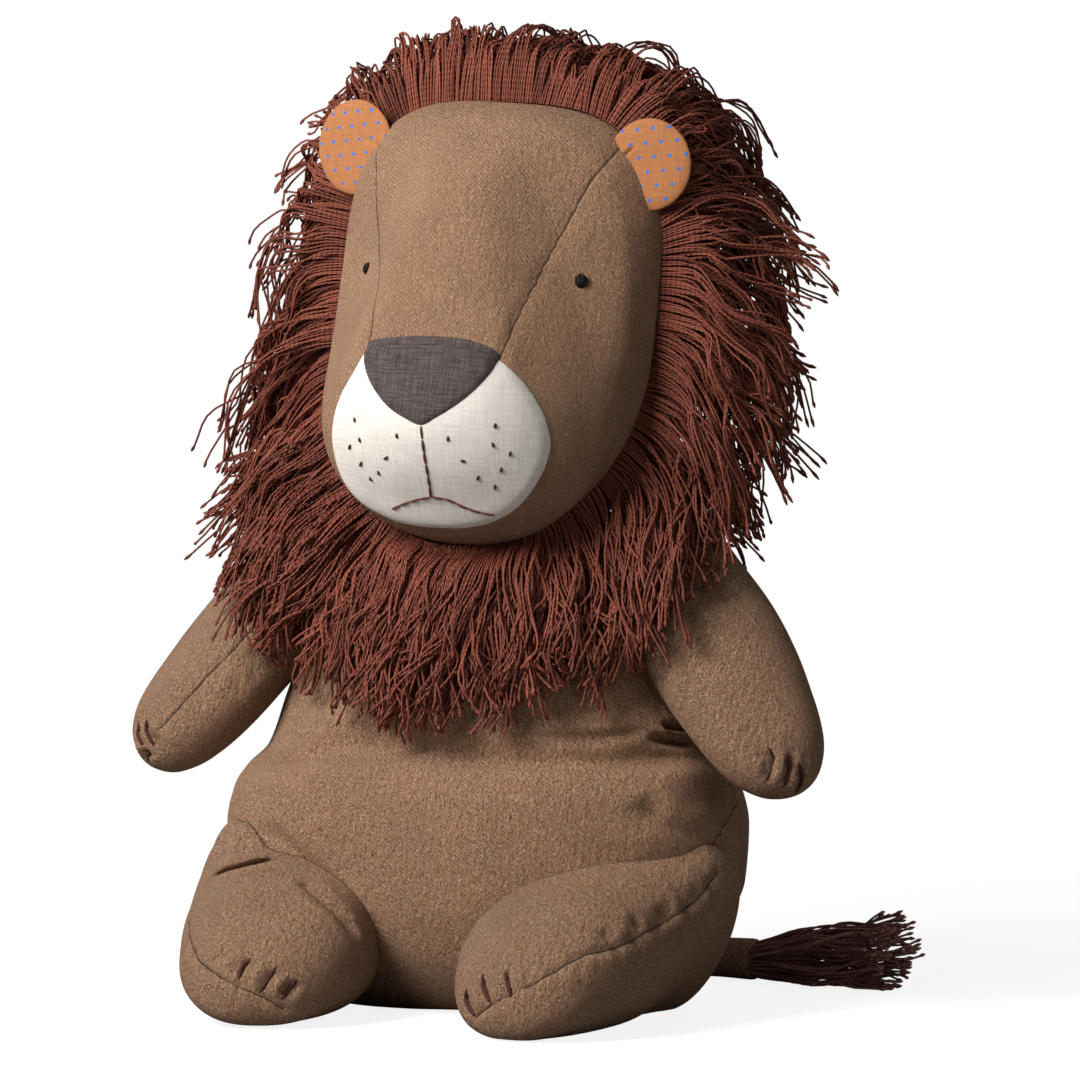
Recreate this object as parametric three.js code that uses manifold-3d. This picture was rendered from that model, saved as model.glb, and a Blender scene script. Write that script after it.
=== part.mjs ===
// A sitting soft-toy lion: stuffed cloth torso, head, arms and legs, a yarn mane and a tufted tail.
// Millimetres, +Z up. It faces -Y, its own left side is +X, and it sits on the floor at z = 0.
import * as THREE from 'three';
import { mergeVertices } from 'three/addons/utils/BufferGeometryUtils.js';
import Module from 'manifold-3d';

const wasm = await Module();
wasm.setup();

// Cloth, thread and the room between pieces
const clothThickness = 1.2;
const seamGap = 0.3;
const floorPress = 0.5;
const weldTolerance = 0.001;
const overrun = 30;
const sweepStep = 5;

// Torso, from the floor to the neck seam
const torsoHeight = 157;
const torsoHalfWidth = 87.5;
const torsoHalfDepth = 59;
const neckRadius = 25;
const neckForward = 10;
const neckStub = 7;
const torsoSides = 24;

// Head, measured from the middle of the rim, the seam that carries the mane
const rimRise = 70;
const rimHeight = torsoHeight + rimRise;
const rimForward = 12;
const rimHalfWidth = 58;
const rimHalfHeight = 74;
const faceDepth = 64;
const headBackDepth = 44;
const headSides = 24;
const headTurn = -6;
const headTilt = 3.5;

// Face: patches of cloth, embroidery and knotted eyes
const patchThickness = 0.9;
const muzzleHalfWidth = 40.5;
const muzzleTopDrop = 6;
const muzzleBottomDrop = 66;
const noseHalfWidth = 24.5;
const noseTopDrop = 4;
const noseHeight = 28;
const mouthDrop = 56;
const mouthHalfWidth = 18;
const mouthSag = 5.5;
const eyeSpread = 39.5;
const eyeRise = 16.5;
const eyeRadius = 2.1;
const faceThread = 1.2;

// Ears, half discs sewn in at the rim
const earRadius = 17;
const earPanelThickness = 3.6;
const earSpread = 53;
const earRise = 56;
const earForward = 8;
const earSplay = 12;

// Mane: a tape on the rim seam and twelve locks of yarn
const tapeThickness = 1.1;
const tapeWidth = 9;
const yarnLength = 65;
const lockRoot = 9;
const lockThickness = 20;
const maneLocks = 12;

// Arms, hung from the shoulders
const shoulderSpread = 61;
const shoulderForward = 8;
const shoulderDrop = 10;
const shoulderHeight = torsoHeight - shoulderDrop;
const armLength = 97;
const armRootLength = 20;
const armHalfWidth = 24;
const armHalfThickness = 17;
const armSides = 14;
const armOutSwing = 35;
const armForwardSwing = 25;
const armTwist = 30;
const shoulderRange = [-15, 50];

// Legs, pillows that lie forward on the floor
const hipSpread = 61;
const hipForward = 27;
const hipHeight = 32;
const legLength = 93;
const legRootLength = 26;
const legHalfWidth = 33;
const legHalfHeight = 30.5;
const legSides = 16;
const toeIn = 12;
const hipRange = [-35, 10];

// Claws, three stitched lines on each paw
const clawThread = 1.5;
const clawLength = 9;
const clawPitch = 8;
const clawsPerPaw = 3;

// Tail, a stuffed tube that lies on the floor behind and ends in yarn
const tailRadius = 7;
const tailRootBack = 36;
const tailReach = 64;
const tailBulge = 70;
const tailSides = 10;
const tuftLength = 62;
const tuftRootRadius = 8;
const tuftEndRadius = 13.5;
const tailRange = [-5, 40];
const floorClearance = 0.4;

// Finishes
const brownCloth = new THREE.MeshStandardMaterial({ color: 0x8a6a4f, roughness: 0.95, metalness: 0 });
const whiteLinen = new THREE.MeshStandardMaterial({ color: 0xd9d0c4, roughness: 0.9, metalness: 0 });
const charcoalLinen = new THREE.MeshStandardMaterial({ color: 0x5c504e, roughness: 0.9, metalness: 0 });
const orangeCotton = new THREE.MeshStandardMaterial({ color: 0xcf8c5c, roughness: 0.85, metalness: 0 });
const auburnYarn = new THREE.MeshStandardMaterial({ color: 0x6b3529, roughness: 0.85, metalness: 0 });
const tape = new THREE.MeshStandardMaterial({ color: 0x4a2a22, roughness: 0.9, metalness: 0 });
const darkThread = new THREE.MeshStandardMaterial({ color: 0x3a211b, roughness: 0.8, metalness: 0 });
const blackThread = new THREE.MeshStandardMaterial({ color: 0x15120f, roughness: 0.6, metalness: 0 });
const wadding = new THREE.MeshStandardMaterial({ color: 0xf0efe9, roughness: 1, metalness: 0 });

const radians = THREE.MathUtils.degToRad;
const acrossAxis = new THREE.Vector3(1, 0, 0);
const depthAxis = new THREE.Vector3(0, 1, 0);
const upAxis = new THREE.Vector3(0, 0, 1);
const swingAxis = new THREE.Vector3(-1, 0, 0);

// A ring of a stuffed form: a rounded outline that can be squarer above than below, and narrower above
function ringPoints(ring, across, up, sides) {
  return Array.from({ length: sides }, (unused, index) => {
    const angle = (2 * Math.PI * index) / sides;
    const power = Math.sin(angle) > 0 ? ring.upperPower : ring.lowerPower;
    const side = Math.sign(Math.cos(angle)) * Math.abs(Math.cos(angle)) ** (2 / power);
    const rise = Math.sign(Math.sin(angle)) * Math.abs(Math.sin(angle)) ** (2 / power);
    return ring.middle.clone()
      .addScaledVector(across, ring.halfWidth * side * (1 - ring.narrowShare * rise))
      .addScaledVector(up, ring.halfHeight * rise);
  });
}

// A closed form through rings of points, shut by a point at either end
function loft(start, rings, end) {
  const points = [start, ...rings.flat(), end];
  const sides = rings[0].length;
  const last = points.length - 1;
  const faces = [];
  for (let side = 0; side < sides; side += 1) {
    const next = (side + 1) % sides;
    faces.push(0, 1 + next, 1 + side);
    for (let ring = 0; ring < rings.length - 1; ring += 1) {
      const near = 1 + ring * sides;
      const far = near + sides;
      faces.push(near + side, near + next, far + side);
      faces.push(near + next, far + next, far + side);
    }
    const rim = last - sides;
    faces.push(last, rim + side, rim + next);
  }
  const geometry = new THREE.BufferGeometry().setFromPoints(points);
  geometry.setIndex(faces);
  if (signedVolume(geometry) < 0) {
    geometry.setIndex(faces.reverse());
  }
  return geometry;
}

function signedVolume(geometry) {
  const corners = [new THREE.Vector3(), new THREE.Vector3(), new THREE.Vector3()];
  const { position } = geometry.attributes;
  const index = geometry.index.array;
  let volume = 0;
  for (let face = 0; face < index.length; face += 3) {
    corners.forEach((corner, offset) => corner.fromBufferAttribute(position, index[face + offset]));
    volume += corners[0].dot(corners[1].clone().cross(corners[2])) / 6;
  }
  return volume;
}

function welded(geometry) {
  const bare = geometry.clone();
  for (const name of Object.keys(bare.attributes)) {
    if (name !== 'position') {
      bare.deleteAttribute(name);
    }
  }
  return mergeVertices(bare, weldTolerance);
}

// The same form with its surface moved out along its normals, or in for a negative distance
function grown(geometry, distance) {
  const moved = welded(geometry);
  moved.computeVertexNormals();
  const { position, normal } = moved.attributes;
  const point = new THREE.Vector3();
  const direction = new THREE.Vector3();
  for (let index = 0; index < position.count; index += 1) {
    point.fromBufferAttribute(position, index);
    direction.fromBufferAttribute(normal, index);
    point.addScaledVector(direction, distance);
    position.setXYZ(index, point.x, point.y, point.z);
  }
  return moved;
}

function solidOf(geometry) {
  const shape = welded(geometry);
  return new wasm.Manifold(new wasm.Mesh({
    numProp: 3,
    vertProperties: new Float32Array(shape.attributes.position.array),
    triVerts: new Uint32Array(shape.index.array),
  }));
}

function placed(solid, matrix) {
  return solid.transform(matrix.elements);
}

function geometryOf(solid) {
  const mesh = solid.getMesh();
  const geometry = new THREE.BufferGeometry();
  geometry.setAttribute('position', new THREE.BufferAttribute(mesh.vertProperties, mesh.numProp));
  geometry.setIndex(new THREE.BufferAttribute(mesh.triVerts, 1));
  geometry.computeVertexNormals();
  return geometry;
}

// Cuts a piece by its neighbours and keeps the main body, without the loose chips
function cut(solid, ...cutters) {
  const rest = cutters.reduce((body, cutter) => body.subtract(cutter), solid);
  return rest.decompose().reduce((main, body) => (body.volume() > main.volume() ? body : main));
}

function block(x0, x1, y0, y1, z0, z1) {
  const geometry = new THREE.BoxGeometry(x1 - x0, y1 - y0, z1 - z0);
  geometry.translate((x0 + x1) / 2, (y0 + y1) / 2, (z0 + z1) / 2);
  return solidOf(geometry);
}

function turnAbout(pivot, axis, degrees) {
  return new THREE.Matrix4().makeTranslation(pivot)
    .multiply(new THREE.Matrix4().makeRotationAxis(axis, radians(degrees)))
    .multiply(new THREE.Matrix4().makeTranslation(pivot.clone().negate()));
}

// The parent as a hinged limb meets it over its whole swing
function sweptPast(parent, pivot, axis, range) {
  const steps = Math.ceil((range[1] - range[0]) / sweepStep);
  return Array.from({ length: steps + 1 }, (unused, step) => {
    const angle = range[0] + ((range[1] - range[0]) * step) / steps;
    return placed(parent, turnAbout(pivot, axis, -angle));
  }).reduce((all, turned) => all.add(turned), parent);
}

const lion = new THREE.Group();

function frameAt(parent, position, rotation) {
  const group = new THREE.Group();
  group.position.copy(position);
  group.rotation.copy(rotation);
  parent.add(group);
  group.updateWorldMatrix(true, true);
  return group;
}

// Adds a solid given in the lion's own frame to a group that has its own place and turn
function addPiece(group, name, solid, material) {
  const inward = group.matrixWorld.clone().invert();
  const mesh = new THREE.Mesh(geometryOf(placed(solid, inward)), material);
  mesh.name = name;
  group.add(mesh);
}

// A form as cover, filling and envelope for its neighbours' gaps, all from one outline, in the lion's frame
function stuffedForm(geometry, matrix) {
  const outer = solidOf(geometry);
  const inner = solidOf(grown(geometry, -clothThickness));
  const filling = solidOf(grown(geometry, -clothThickness - seamGap));
  const envelope = solidOf(grown(geometry, seamGap));
  const swingEnvelope = solidOf(grown(geometry, seamGap * 2));
  return {
    cover: placed(outer.subtract(inner), matrix),
    filling: placed(filling, matrix),
    envelope: placed(envelope, matrix),
    swingEnvelope: placed(swingEnvelope, matrix),
  };
}

const belowFloor = block(-torsoHeight * 2, torsoHeight * 2, -torsoHeight * 2, torsoHeight * 2, -overrun, 0);
const underFilling = block(
  -torsoHeight * 2, torsoHeight * 2, -torsoHeight * 2, torsoHeight * 2,
  -overrun, clothThickness + seamGap,
);

// Torso: rows of height, half width, half depth and forward shift, as shares of its named sizes
const torsoShares = [
  { height: 0.05, width: 0.86, depth: 0.84, forward: 0.14, power: 2.4 },
  { height: 0.14, width: 0.97, depth: 0.96, forward: 0.18, power: 2.5 },
  { height: 0.26, width: 1, depth: 1, forward: 0.22, power: 2.75 },
  { height: 0.38, width: 1, depth: 1, forward: 0.22, power: 2.75 },
  { height: 0.48, width: 0.97, depth: 0.96, forward: 0.18, power: 2.4 },
  { height: 0.55, width: 0.9, depth: 0.88, forward: 0.14, power: 2.2 },
  { height: 0.63, width: 0.84, depth: 0.84, forward: 0.12, power: 2.1 },
  { height: 0.75, width: 0.76, depth: 0.74, forward: 0.12, power: 2.1 },
  { height: 0.85, width: 0.68, depth: 0.62, forward: 0.14, power: 2.05 },
  { height: 0.92, width: 0.52, depth: 0.52, forward: 0.16, power: 2 },
];
const baseShare = 0.72;

function torsoRing(height, halfWidth, halfDepth, forward, power) {
  const middle = new THREE.Vector3(0, -forward, height);
  return ringPoints(
    { middle, halfWidth, halfHeight: halfDepth, upperPower: power, lowerPower: power, narrowShare: 0 },
    acrossAxis, depthAxis, torsoSides,
  );
}

function torsoForm() {
  const baseForward = torsoHalfDepth * torsoShares[0].forward;
  const base = torsoRing(
    -floorPress, torsoHalfWidth * baseShare, torsoHalfDepth * baseShare, baseForward, 2,
  );
  const rings = torsoShares.map((row) => torsoRing(
    torsoHeight * row.height, torsoHalfWidth * row.width, torsoHalfDepth * row.depth,
    torsoHalfDepth * row.forward, row.power,
  ));
  const neckLow = torsoRing(torsoHeight - neckStub, neckRadius, neckRadius, neckForward, 2);
  const neckHigh = torsoRing(torsoHeight + neckStub, neckRadius, neckRadius, neckForward, 2);
  const start = new THREE.Vector3(0, -baseForward, -floorPress);
  const end = new THREE.Vector3(0, -neckForward, torsoHeight + neckStub);
  return loft(start, [base, ...rings, neckLow, neckHigh], end);
}

const torso = stuffedForm(torsoForm(), new THREE.Matrix4());
const aboveNeck = block(
  -torsoHalfWidth, torsoHalfWidth, -torsoHalfWidth, torsoHalfWidth, torsoHeight, torsoHeight + overrun,
);
const aboveNeckFilling = block(
  -torsoHalfWidth, torsoHalfWidth, -torsoHalfWidth, torsoHalfWidth,
  torsoHeight - seamGap, torsoHeight + overrun,
);
addPiece(lion, 'torso_cover', cut(torso.cover, belowFloor, aboveNeck), brownCloth);
addPiece(lion, 'torso_stuffing', cut(torso.filling, underFilling, aboveNeckFilling), wadding);

// Head: rows of depth, middle, half width and half height, as shares of its named sizes
const headBackShares = [
  { depth: 0.9, middle: -0.08, width: 0.47, height: 0.52, upper: 2.2, lower: 2, narrow: 0 },
  { depth: 0.66, middle: -0.06, width: 0.79, height: 0.84, upper: 2.6, lower: 2, narrow: 0 },
  { depth: 0.33, middle: -0.01, width: 0.95, height: 0.965, upper: 3, lower: 2, narrow: -0.02 },
];
const faceShares = [
  { depth: 0, middle: 0, width: 1, height: 1, upper: 3.2, lower: 2, narrow: -0.03 },
  { depth: 0.236, middle: -0.027, width: 0.95, height: 0.973, upper: 3, lower: 2, narrow: 0.1 },
  { depth: 0.46, middle: -0.09, width: 0.785, height: 0.885, upper: 2.5, lower: 2.05, narrow: 0.54 },
  { depth: 0.6, middle: -0.14, width: 0.69, height: 0.79, upper: 2.35, lower: 2.1, narrow: 0.58 },
  { depth: 0.705, middle: -0.2, width: 0.62, height: 0.68, upper: 2.3, lower: 2.15, narrow: 0.53 },
  { depth: 0.8, middle: -0.28, width: 0.56, height: 0.5, upper: 2.4, lower: 2.2, narrow: 0.3 },
  { depth: 0.88, middle: -0.36, width: 0.46, height: 0.33, upper: 2.4, lower: 2.2, narrow: 0.12 },
  { depth: 0.96, middle: -0.41, width: 0.27, height: 0.16, upper: 2.1, lower: 2, narrow: 0 },
];
const faceApexShare = -0.42;

function headForm() {
  const ringAt = (row, y) => ringPoints({
    middle: new THREE.Vector3(0, y, rimHalfHeight * row.middle),
    halfWidth: rimHalfWidth * row.width,
    halfHeight: rimHalfHeight * row.height,
    upperPower: row.upper,
    lowerPower: row.lower,
    narrowShare: row.narrow,
  }, acrossAxis, upAxis, headSides);
  const back = headBackShares.map((row) => ringAt(row, headBackDepth * row.depth));
  const face = faceShares.map((row) => ringAt(row, -faceDepth * row.depth));
  const start = new THREE.Vector3(0, headBackDepth, rimHalfHeight * headBackShares[0].middle);
  const end = new THREE.Vector3(0, -faceDepth, rimHalfHeight * faceApexShare);
  return loft(start, [...back, ...face], end);
}

const headShape = headForm();
const tiltShift = rimRise * Math.sin(radians(headTilt));
const headGroup = frameAt(
  lion,
  new THREE.Vector3(tiltShift, -rimForward, rimHeight),
  new THREE.Euler(0, radians(headTilt), radians(headTurn), 'ZYX'),
);
const head = stuffedForm(headShape, headGroup.matrixWorld);

function neckSocket() {
  const top = torsoHeight + seamGap;
  const radius = (neckRadius + seamGap) / Math.cos(Math.PI / torsoSides);
  const depth = neckStub * 3;
  const geometry = new THREE.CylinderGeometry(radius, radius, depth, torsoSides);
  geometry.rotateX(Math.PI / 2);
  geometry.translate(0, -neckForward, top - depth / 2);
  return solidOf(geometry);
}

const headSocket = neckSocket();
addPiece(headGroup, 'head_cover', cut(head.cover, headSocket), brownCloth);
addPiece(headGroup, 'head_stuffing', cut(head.filling, headSocket), wadding);

// A flat outline in the head's front view, made a prism that runs through the face
function facePrism(outline) {
  const geometry = new THREE.ExtrudeGeometry(outline, {
    depth: faceDepth + overrun,
    bevelEnabled: false,
    curveSegments: 5,
  });
  geometry.rotateX(Math.PI / 2);
  return placed(solidOf(geometry), headGroup.matrixWorld);
}

function headLayer(inside, outside) {
  const layer = solidOf(grown(headShape, outside)).subtract(solidOf(grown(headShape, inside)));
  return placed(layer, headGroup.matrixWorld);
}

function muzzleOutline() {
  const outline = new THREE.Shape();
  const waist = (muzzleTopDrop + muzzleBottomDrop) / 2;
  const upper = waist - muzzleTopDrop;
  const lower = muzzleBottomDrop - waist;
  outline.moveTo(0, -muzzleTopDrop);
  outline.bezierCurveTo(
    muzzleHalfWidth * 0.75, -muzzleTopDrop, muzzleHalfWidth, -waist + upper * 0.55, muzzleHalfWidth, -waist,
  );
  outline.bezierCurveTo(
    muzzleHalfWidth, -waist - lower * 0.6, muzzleHalfWidth * 0.55, -muzzleBottomDrop, 0, -muzzleBottomDrop,
  );
  outline.bezierCurveTo(
    -muzzleHalfWidth * 0.55, -muzzleBottomDrop,
    -muzzleHalfWidth, -waist - lower * 0.6,
    -muzzleHalfWidth, -waist,
  );
  outline.bezierCurveTo(
    -muzzleHalfWidth, -waist + upper * 0.55, -muzzleHalfWidth * 0.75, -muzzleTopDrop, 0, -muzzleTopDrop,
  );
  return outline;
}

function noseOutline() {
  const outline = new THREE.Shape();
  const corner = -noseTopDrop - noseHeight * 0.16;
  const tip = -noseTopDrop - noseHeight;
  outline.moveTo(0, -noseTopDrop);
  outline.bezierCurveTo(
    noseHalfWidth * 0.7, -noseTopDrop, noseHalfWidth * 1.02, corner * 0.9, noseHalfWidth, corner,
  );
  outline.bezierCurveTo(noseHalfWidth * 0.95, tip * 0.6, noseHalfWidth * 0.35, tip, 0, tip);
  outline.bezierCurveTo(
    -noseHalfWidth * 0.35, tip, -noseHalfWidth * 0.95, tip * 0.6, -noseHalfWidth, corner,
  );
  outline.bezierCurveTo(
    -noseHalfWidth * 1.02, corner * 0.9, -noseHalfWidth * 0.7, -noseTopDrop, 0, -noseTopDrop,
  );
  return outline;
}

const patchOut = seamGap + patchThickness;
const muzzle = headLayer(seamGap, patchOut).intersect(facePrism(muzzleOutline()));
addPiece(headGroup, 'muzzle_patch', cut(muzzle), whiteLinen);
const noseIn = patchOut + seamGap;
const nose = headLayer(noseIn, noseIn + patchThickness).intersect(facePrism(noseOutline()));
addPiece(headGroup, 'nose_patch', cut(nose), charcoalLinen);

// Where a ray from outside meets a form, in the form's own frame, lifted off the surface
const raycaster = new THREE.Raycaster();

function surfacePoint(geometry, from, direction, lift) {
  raycaster.set(from, direction.clone().normalize());
  const [hit] = raycaster.intersectObject(new THREE.Mesh(geometry, brownCloth));
  return hit.point.clone().addScaledVector(hit.face.normal, lift);
}

function threadAlong(points, thickness) {
  const sides = 6;
  const section = new THREE.Shape(Array.from({ length: sides }, (unused, index) => new THREE.Vector2(
    (thickness / 2) * Math.cos((2 * Math.PI * index) / sides),
    (thickness / 2) * Math.sin((2 * Math.PI * index) / sides),
  )));
  const path = new THREE.CatmullRomCurve3(points);
  const geometry = new THREE.ExtrudeGeometry(section, {
    steps: points.length - 1,
    extrudePath: path,
    bevelEnabled: false,
  });
  return solidOf(geometry);
}

const muzzleShape = grown(headShape, patchOut);

function facePoint(x, z, lift) {
  return surfacePoint(muzzleShape, new THREE.Vector3(x, -faceDepth - overrun, z), depthAxis, lift);
}

const threadLift = faceThread / 2 + seamGap;
const mouthSteps = 5;
const lineTop = noseTopDrop + noseHeight + faceThread;
const lineBottom = mouthDrop - faceThread;
const mouthLine = Array.from({ length: mouthSteps + 1 }, (unused, step) => facePoint(
  0, -lineTop - ((lineBottom - lineTop) * step) / mouthSteps, threadLift,
));
const mouthLineSolid = placed(threadAlong(mouthLine, faceThread), headGroup.matrixWorld);
addPiece(headGroup, 'mouth_line', mouthLineSolid, darkThread);
for (const [sideName, side] of [['left', 1], ['right', -1]]) {
  const wing = Array.from({ length: mouthSteps + 1 }, (unused, step) => {
    const along = step / mouthSteps;
    const x = faceThread + (mouthHalfWidth - faceThread) * along;
    return facePoint(side * x, -mouthDrop - mouthSag * along ** 2, threadLift);
  });
  const wingSolid = placed(threadAlong(wing, faceThread), headGroup.matrixWorld);
  addPiece(headGroup, `mouth_corner_${sideName}`, wingSolid, darkThread);
}

// Eyes: small flattened knots of black thread
for (const [sideName, side] of [['left', 1], ['right', -1]]) {
  const from = new THREE.Vector3(side * eyeSpread, -faceDepth - overrun, eyeRise);
  const seat = surfacePoint(headShape, from, depthAxis, seamGap + eyeRadius * 0.6);
  const ground = surfacePoint(headShape, from, depthAxis, 0);
  const outward = seat.clone().sub(ground).normalize();
  const geometry = new THREE.SphereGeometry(eyeRadius, 10, 7);
  geometry.scale(1, 0.6, 1);
  geometry.applyQuaternion(new THREE.Quaternion().setFromUnitVectors(depthAxis, outward));
  geometry.translate(seat.x, seat.y, seat.z);
  const knot = placed(solidOf(geometry), headGroup.matrixWorld);
  addPiece(headGroup, `eye_knot_${sideName}`, knot, blackThread);
}

// Tape of the fringe, a band round the head just behind the rim
function depthSlab(front, back) {
  const slab = block(
    -rimHalfWidth * 2, rimHalfWidth * 2, front, back, -rimHalfHeight * 2, rimHalfHeight * 2,
  );
  return placed(slab, headGroup.matrixWorld);
}

const tapeOut = seamGap + tapeThickness;
const tapeBand = headLayer(seamGap, tapeOut).intersect(depthSlab(0, tapeWidth));
addPiece(headGroup, 'mane_tape', cut(tapeBand, headSocket), tape);
const headWithTape = placed(solidOf(grown(headShape, tapeOut + seamGap)), headGroup.matrixWorld);

// Ears: two domed half discs, cotton in front and cloth behind
const earEnvelopes = [];

function earPanel(outward, reach) {
  const steps = 4;
  const profile = [new THREE.Vector2(0, 0), new THREE.Vector2(earRadius + reach, 0)];
  for (let step = 1; step <= steps; step += 1) {
    const angle = (Math.PI / 2) * (step / steps);
    profile.push(new THREE.Vector2(
      (earRadius + reach) * Math.cos(angle) ** 0.7,
      (earPanelThickness + reach * 2) * Math.sin(angle),
    ));
  }
  profile[profile.length - 1].x = 0;
  const geometry = new THREE.LatheGeometry(profile, 20);
  geometry.translate(0, seamGap / 2 - reach, 0);
  if (!outward) {
    geometry.rotateX(Math.PI);
  }
  const solid = solidOf(geometry);
  return solid.volume() > 0 ? solid : solidOf(flipped(geometry));
}

function flipped(geometry) {
  const turned = welded(geometry);
  turned.setIndex(new THREE.BufferAttribute(turned.index.array.slice().reverse(), 1));
  return turned;
}

for (const [sideName, side] of [['left', 1], ['right', -1]]) {
  const earGroup = frameAt(
    headGroup,
    new THREE.Vector3(side * earSpread, -earForward, earRise),
    new THREE.Euler(0, 0, radians(side * earSplay)),
  );
  const front = placed(earPanel(false, 0), earGroup.matrixWorld);
  const back = placed(earPanel(true, 0), earGroup.matrixWorld);
  addPiece(earGroup, `ear_front_${sideName}`, cut(front, head.envelope), orangeCotton);
  addPiece(earGroup, `ear_back_${sideName}`, cut(back, head.envelope), brownCloth);
  earEnvelopes.push(placed(earPanel(false, seamGap), earGroup.matrixWorld));
  earEnvelopes.push(placed(earPanel(true, seamGap), earGroup.matrixWorld));
}

// Arms: rows of distance from the shoulder, half width and half thickness, as shares
const armShares = [
  { along: -0.12, width: 0.8, thickness: 0.85 },
  { along: 0.08, width: 0.92, thickness: 1 },
  { along: 0.3, width: 1, thickness: 1 },
  { along: 0.52, width: 0.98, thickness: 0.98 },
  { along: 0.7, width: 0.88, thickness: 0.93 },
  { along: 0.84, width: 0.72, thickness: 0.82 },
  { along: 0.94, width: 0.45, thickness: 0.55 },
];

function armForm() {
  const rings = armShares.map((row) => ringPoints({
    middle: new THREE.Vector3(0, 0, -armLength * row.along),
    halfWidth: armHalfWidth * row.width,
    halfHeight: armHalfThickness * row.thickness,
    upperPower: 2.1,
    lowerPower: 2.1,
    narrowShare: 0,
  }, acrossAxis, depthAxis, armSides));
  return loft(new THREE.Vector3(0, 0, armRootLength), rings, new THREE.Vector3(0, 0, -armLength));
}

// Three stitched claws across a paw, found on its surface in the limb's own frame
function addClaws(group, limb, shape, lineAt) {
  const steps = 4;
  for (let claw = 0; claw < clawsPerPaw; claw += 1) {
    const offset = (claw - (clawsPerPaw - 1) / 2) * clawPitch;
    const points = Array.from({ length: steps + 1 }, (unused, step) => {
      const ray = lineAt(offset, clawLength * (step / steps - 0.5));
      return surfacePoint(shape, ray.from, ray.direction, clawThread / 2 + seamGap);
    });
    const solid = placed(threadAlong(points, clawThread), group.matrixWorld);
    addPiece(group, `claw_${limb}_${claw + 1}`, solid, darkThread);
  }
}

const armEnvelopes = [];
for (const [sideName, side] of [['left', 1], ['right', -1]]) {
  const pivot = new THREE.Vector3(side * shoulderSpread, -shoulderForward, shoulderHeight);
  const armGroup = frameAt(lion, pivot, new THREE.Euler(
    radians(-armForwardSwing), radians(-side * armOutSwing), radians(side * armTwist), 'XYZ',
  ));
  const shape = armForm();
  const arm = stuffedForm(shape, armGroup.matrixWorld);
  const swept = sweptPast(torso.swingEnvelope, pivot, swingAxis, shoulderRange);
  addPiece(armGroup, `arm_cover_${sideName}`, cut(arm.cover, swept), brownCloth);
  addPiece(armGroup, `arm_stuffing_${sideName}`, cut(arm.filling, swept), wadding);
  armEnvelopes.push(arm.envelope);
  addClaws(armGroup, `arm_${sideName}`, shape, (offset, along) => ({
    from: new THREE.Vector3(offset, -armLength, -armLength * 0.92 - along),
    direction: new THREE.Vector3(0, armLength * 0.9, along * 0.5),
  }));
}

// Legs: rows of distance from the hip, half width and half height, as shares
const legShares = [
  { along: -0.16, width: 0.86, height: 1 },
  { along: 0.05, width: 0.99, height: 1.05 },
  { along: 0.28, width: 1, height: 0.92 },
  { along: 0.5, width: 0.99, height: 0.81 },
  { along: 0.7, width: 0.93, height: 0.71 },
  { along: 0.85, width: 0.77, height: 0.58 },
  { along: 0.95, width: 0.5, height: 0.4 },
];
const toeHeightShare = 0.4;
const clawHeight = 17;
const clawInward = 4;

function legForm() {
  const rings = legShares.map((row) => ringPoints({
    middle: new THREE.Vector3(
      0, -legLength * row.along, legHalfHeight * row.height - floorPress - hipHeight,
    ),
    halfWidth: legHalfWidth * row.width,
    halfHeight: legHalfHeight * row.height,
    upperPower: 2.2,
    lowerPower: 2.4,
    narrowShare: 0.05,
  }, acrossAxis, upAxis, legSides));
  const start = new THREE.Vector3(0, legRootLength, 0);
  const end = new THREE.Vector3(0, -legLength, legHalfHeight * toeHeightShare - hipHeight);
  return loft(start, rings, end);
}

for (const [sideName, side] of [['left', 1], ['right', -1]]) {
  const pivot = new THREE.Vector3(side * hipSpread, -hipForward, hipHeight);
  const legGroup = frameAt(lion, pivot, new THREE.Euler(0, 0, radians(-side * toeIn)));
  const shape = legForm();
  const leg = stuffedForm(shape, legGroup.matrixWorld);
  const swept = sweptPast(torso.swingEnvelope, pivot, swingAxis, hipRange);
  addPiece(legGroup, `leg_cover_${sideName}`, cut(leg.cover, swept, belowFloor), brownCloth);
  addPiece(legGroup, `leg_stuffing_${sideName}`, cut(leg.filling, swept, underFilling), wadding);
  addClaws(legGroup, `leg_${sideName}`, shape, (offset, along) => ({
    from: new THREE.Vector3(
      offset - side * clawInward, -legLength - overrun, clawHeight + along - hipHeight,
    ),
    direction: depthAxis,
  }));
}

// Tail: a tube from the back of the seat that curls to the left along the floor
const tailHeight = tailRadius + floorClearance;
const tailRoot = new THREE.Vector3(0, tailRootBack, tailHeight);
const tailEnd = new THREE.Vector3(tailReach, tailBulge * 0.94, tailHeight);
const tailPath = new THREE.CatmullRomCurve3([
  tailRoot,
  new THREE.Vector3(tailReach * 0.16, tailBulge * 0.92, tailHeight),
  new THREE.Vector3(tailReach * 0.5, tailBulge, tailHeight),
  tailEnd,
]);

function tubeRing(path, share, radius, sides) {
  const middle = path.getPointAt(share);
  const across = path.getTangentAt(share).setZ(0).normalize().cross(upAxis);
  return ringPoints(
    { middle, halfWidth: radius, halfHeight: radius, upperPower: 2, lowerPower: 2, narrowShare: 0 },
    across, upAxis, sides,
  );
}

function tailForm(inset) {
  const steps = 8;
  const rings = Array.from({ length: steps + 1 }, (unused, step) => tubeRing(
    tailPath, step / steps, tailRadius - inset, tailSides,
  ));
  return solidOf(loft(tailRoot, rings, tailEnd));
}

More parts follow.
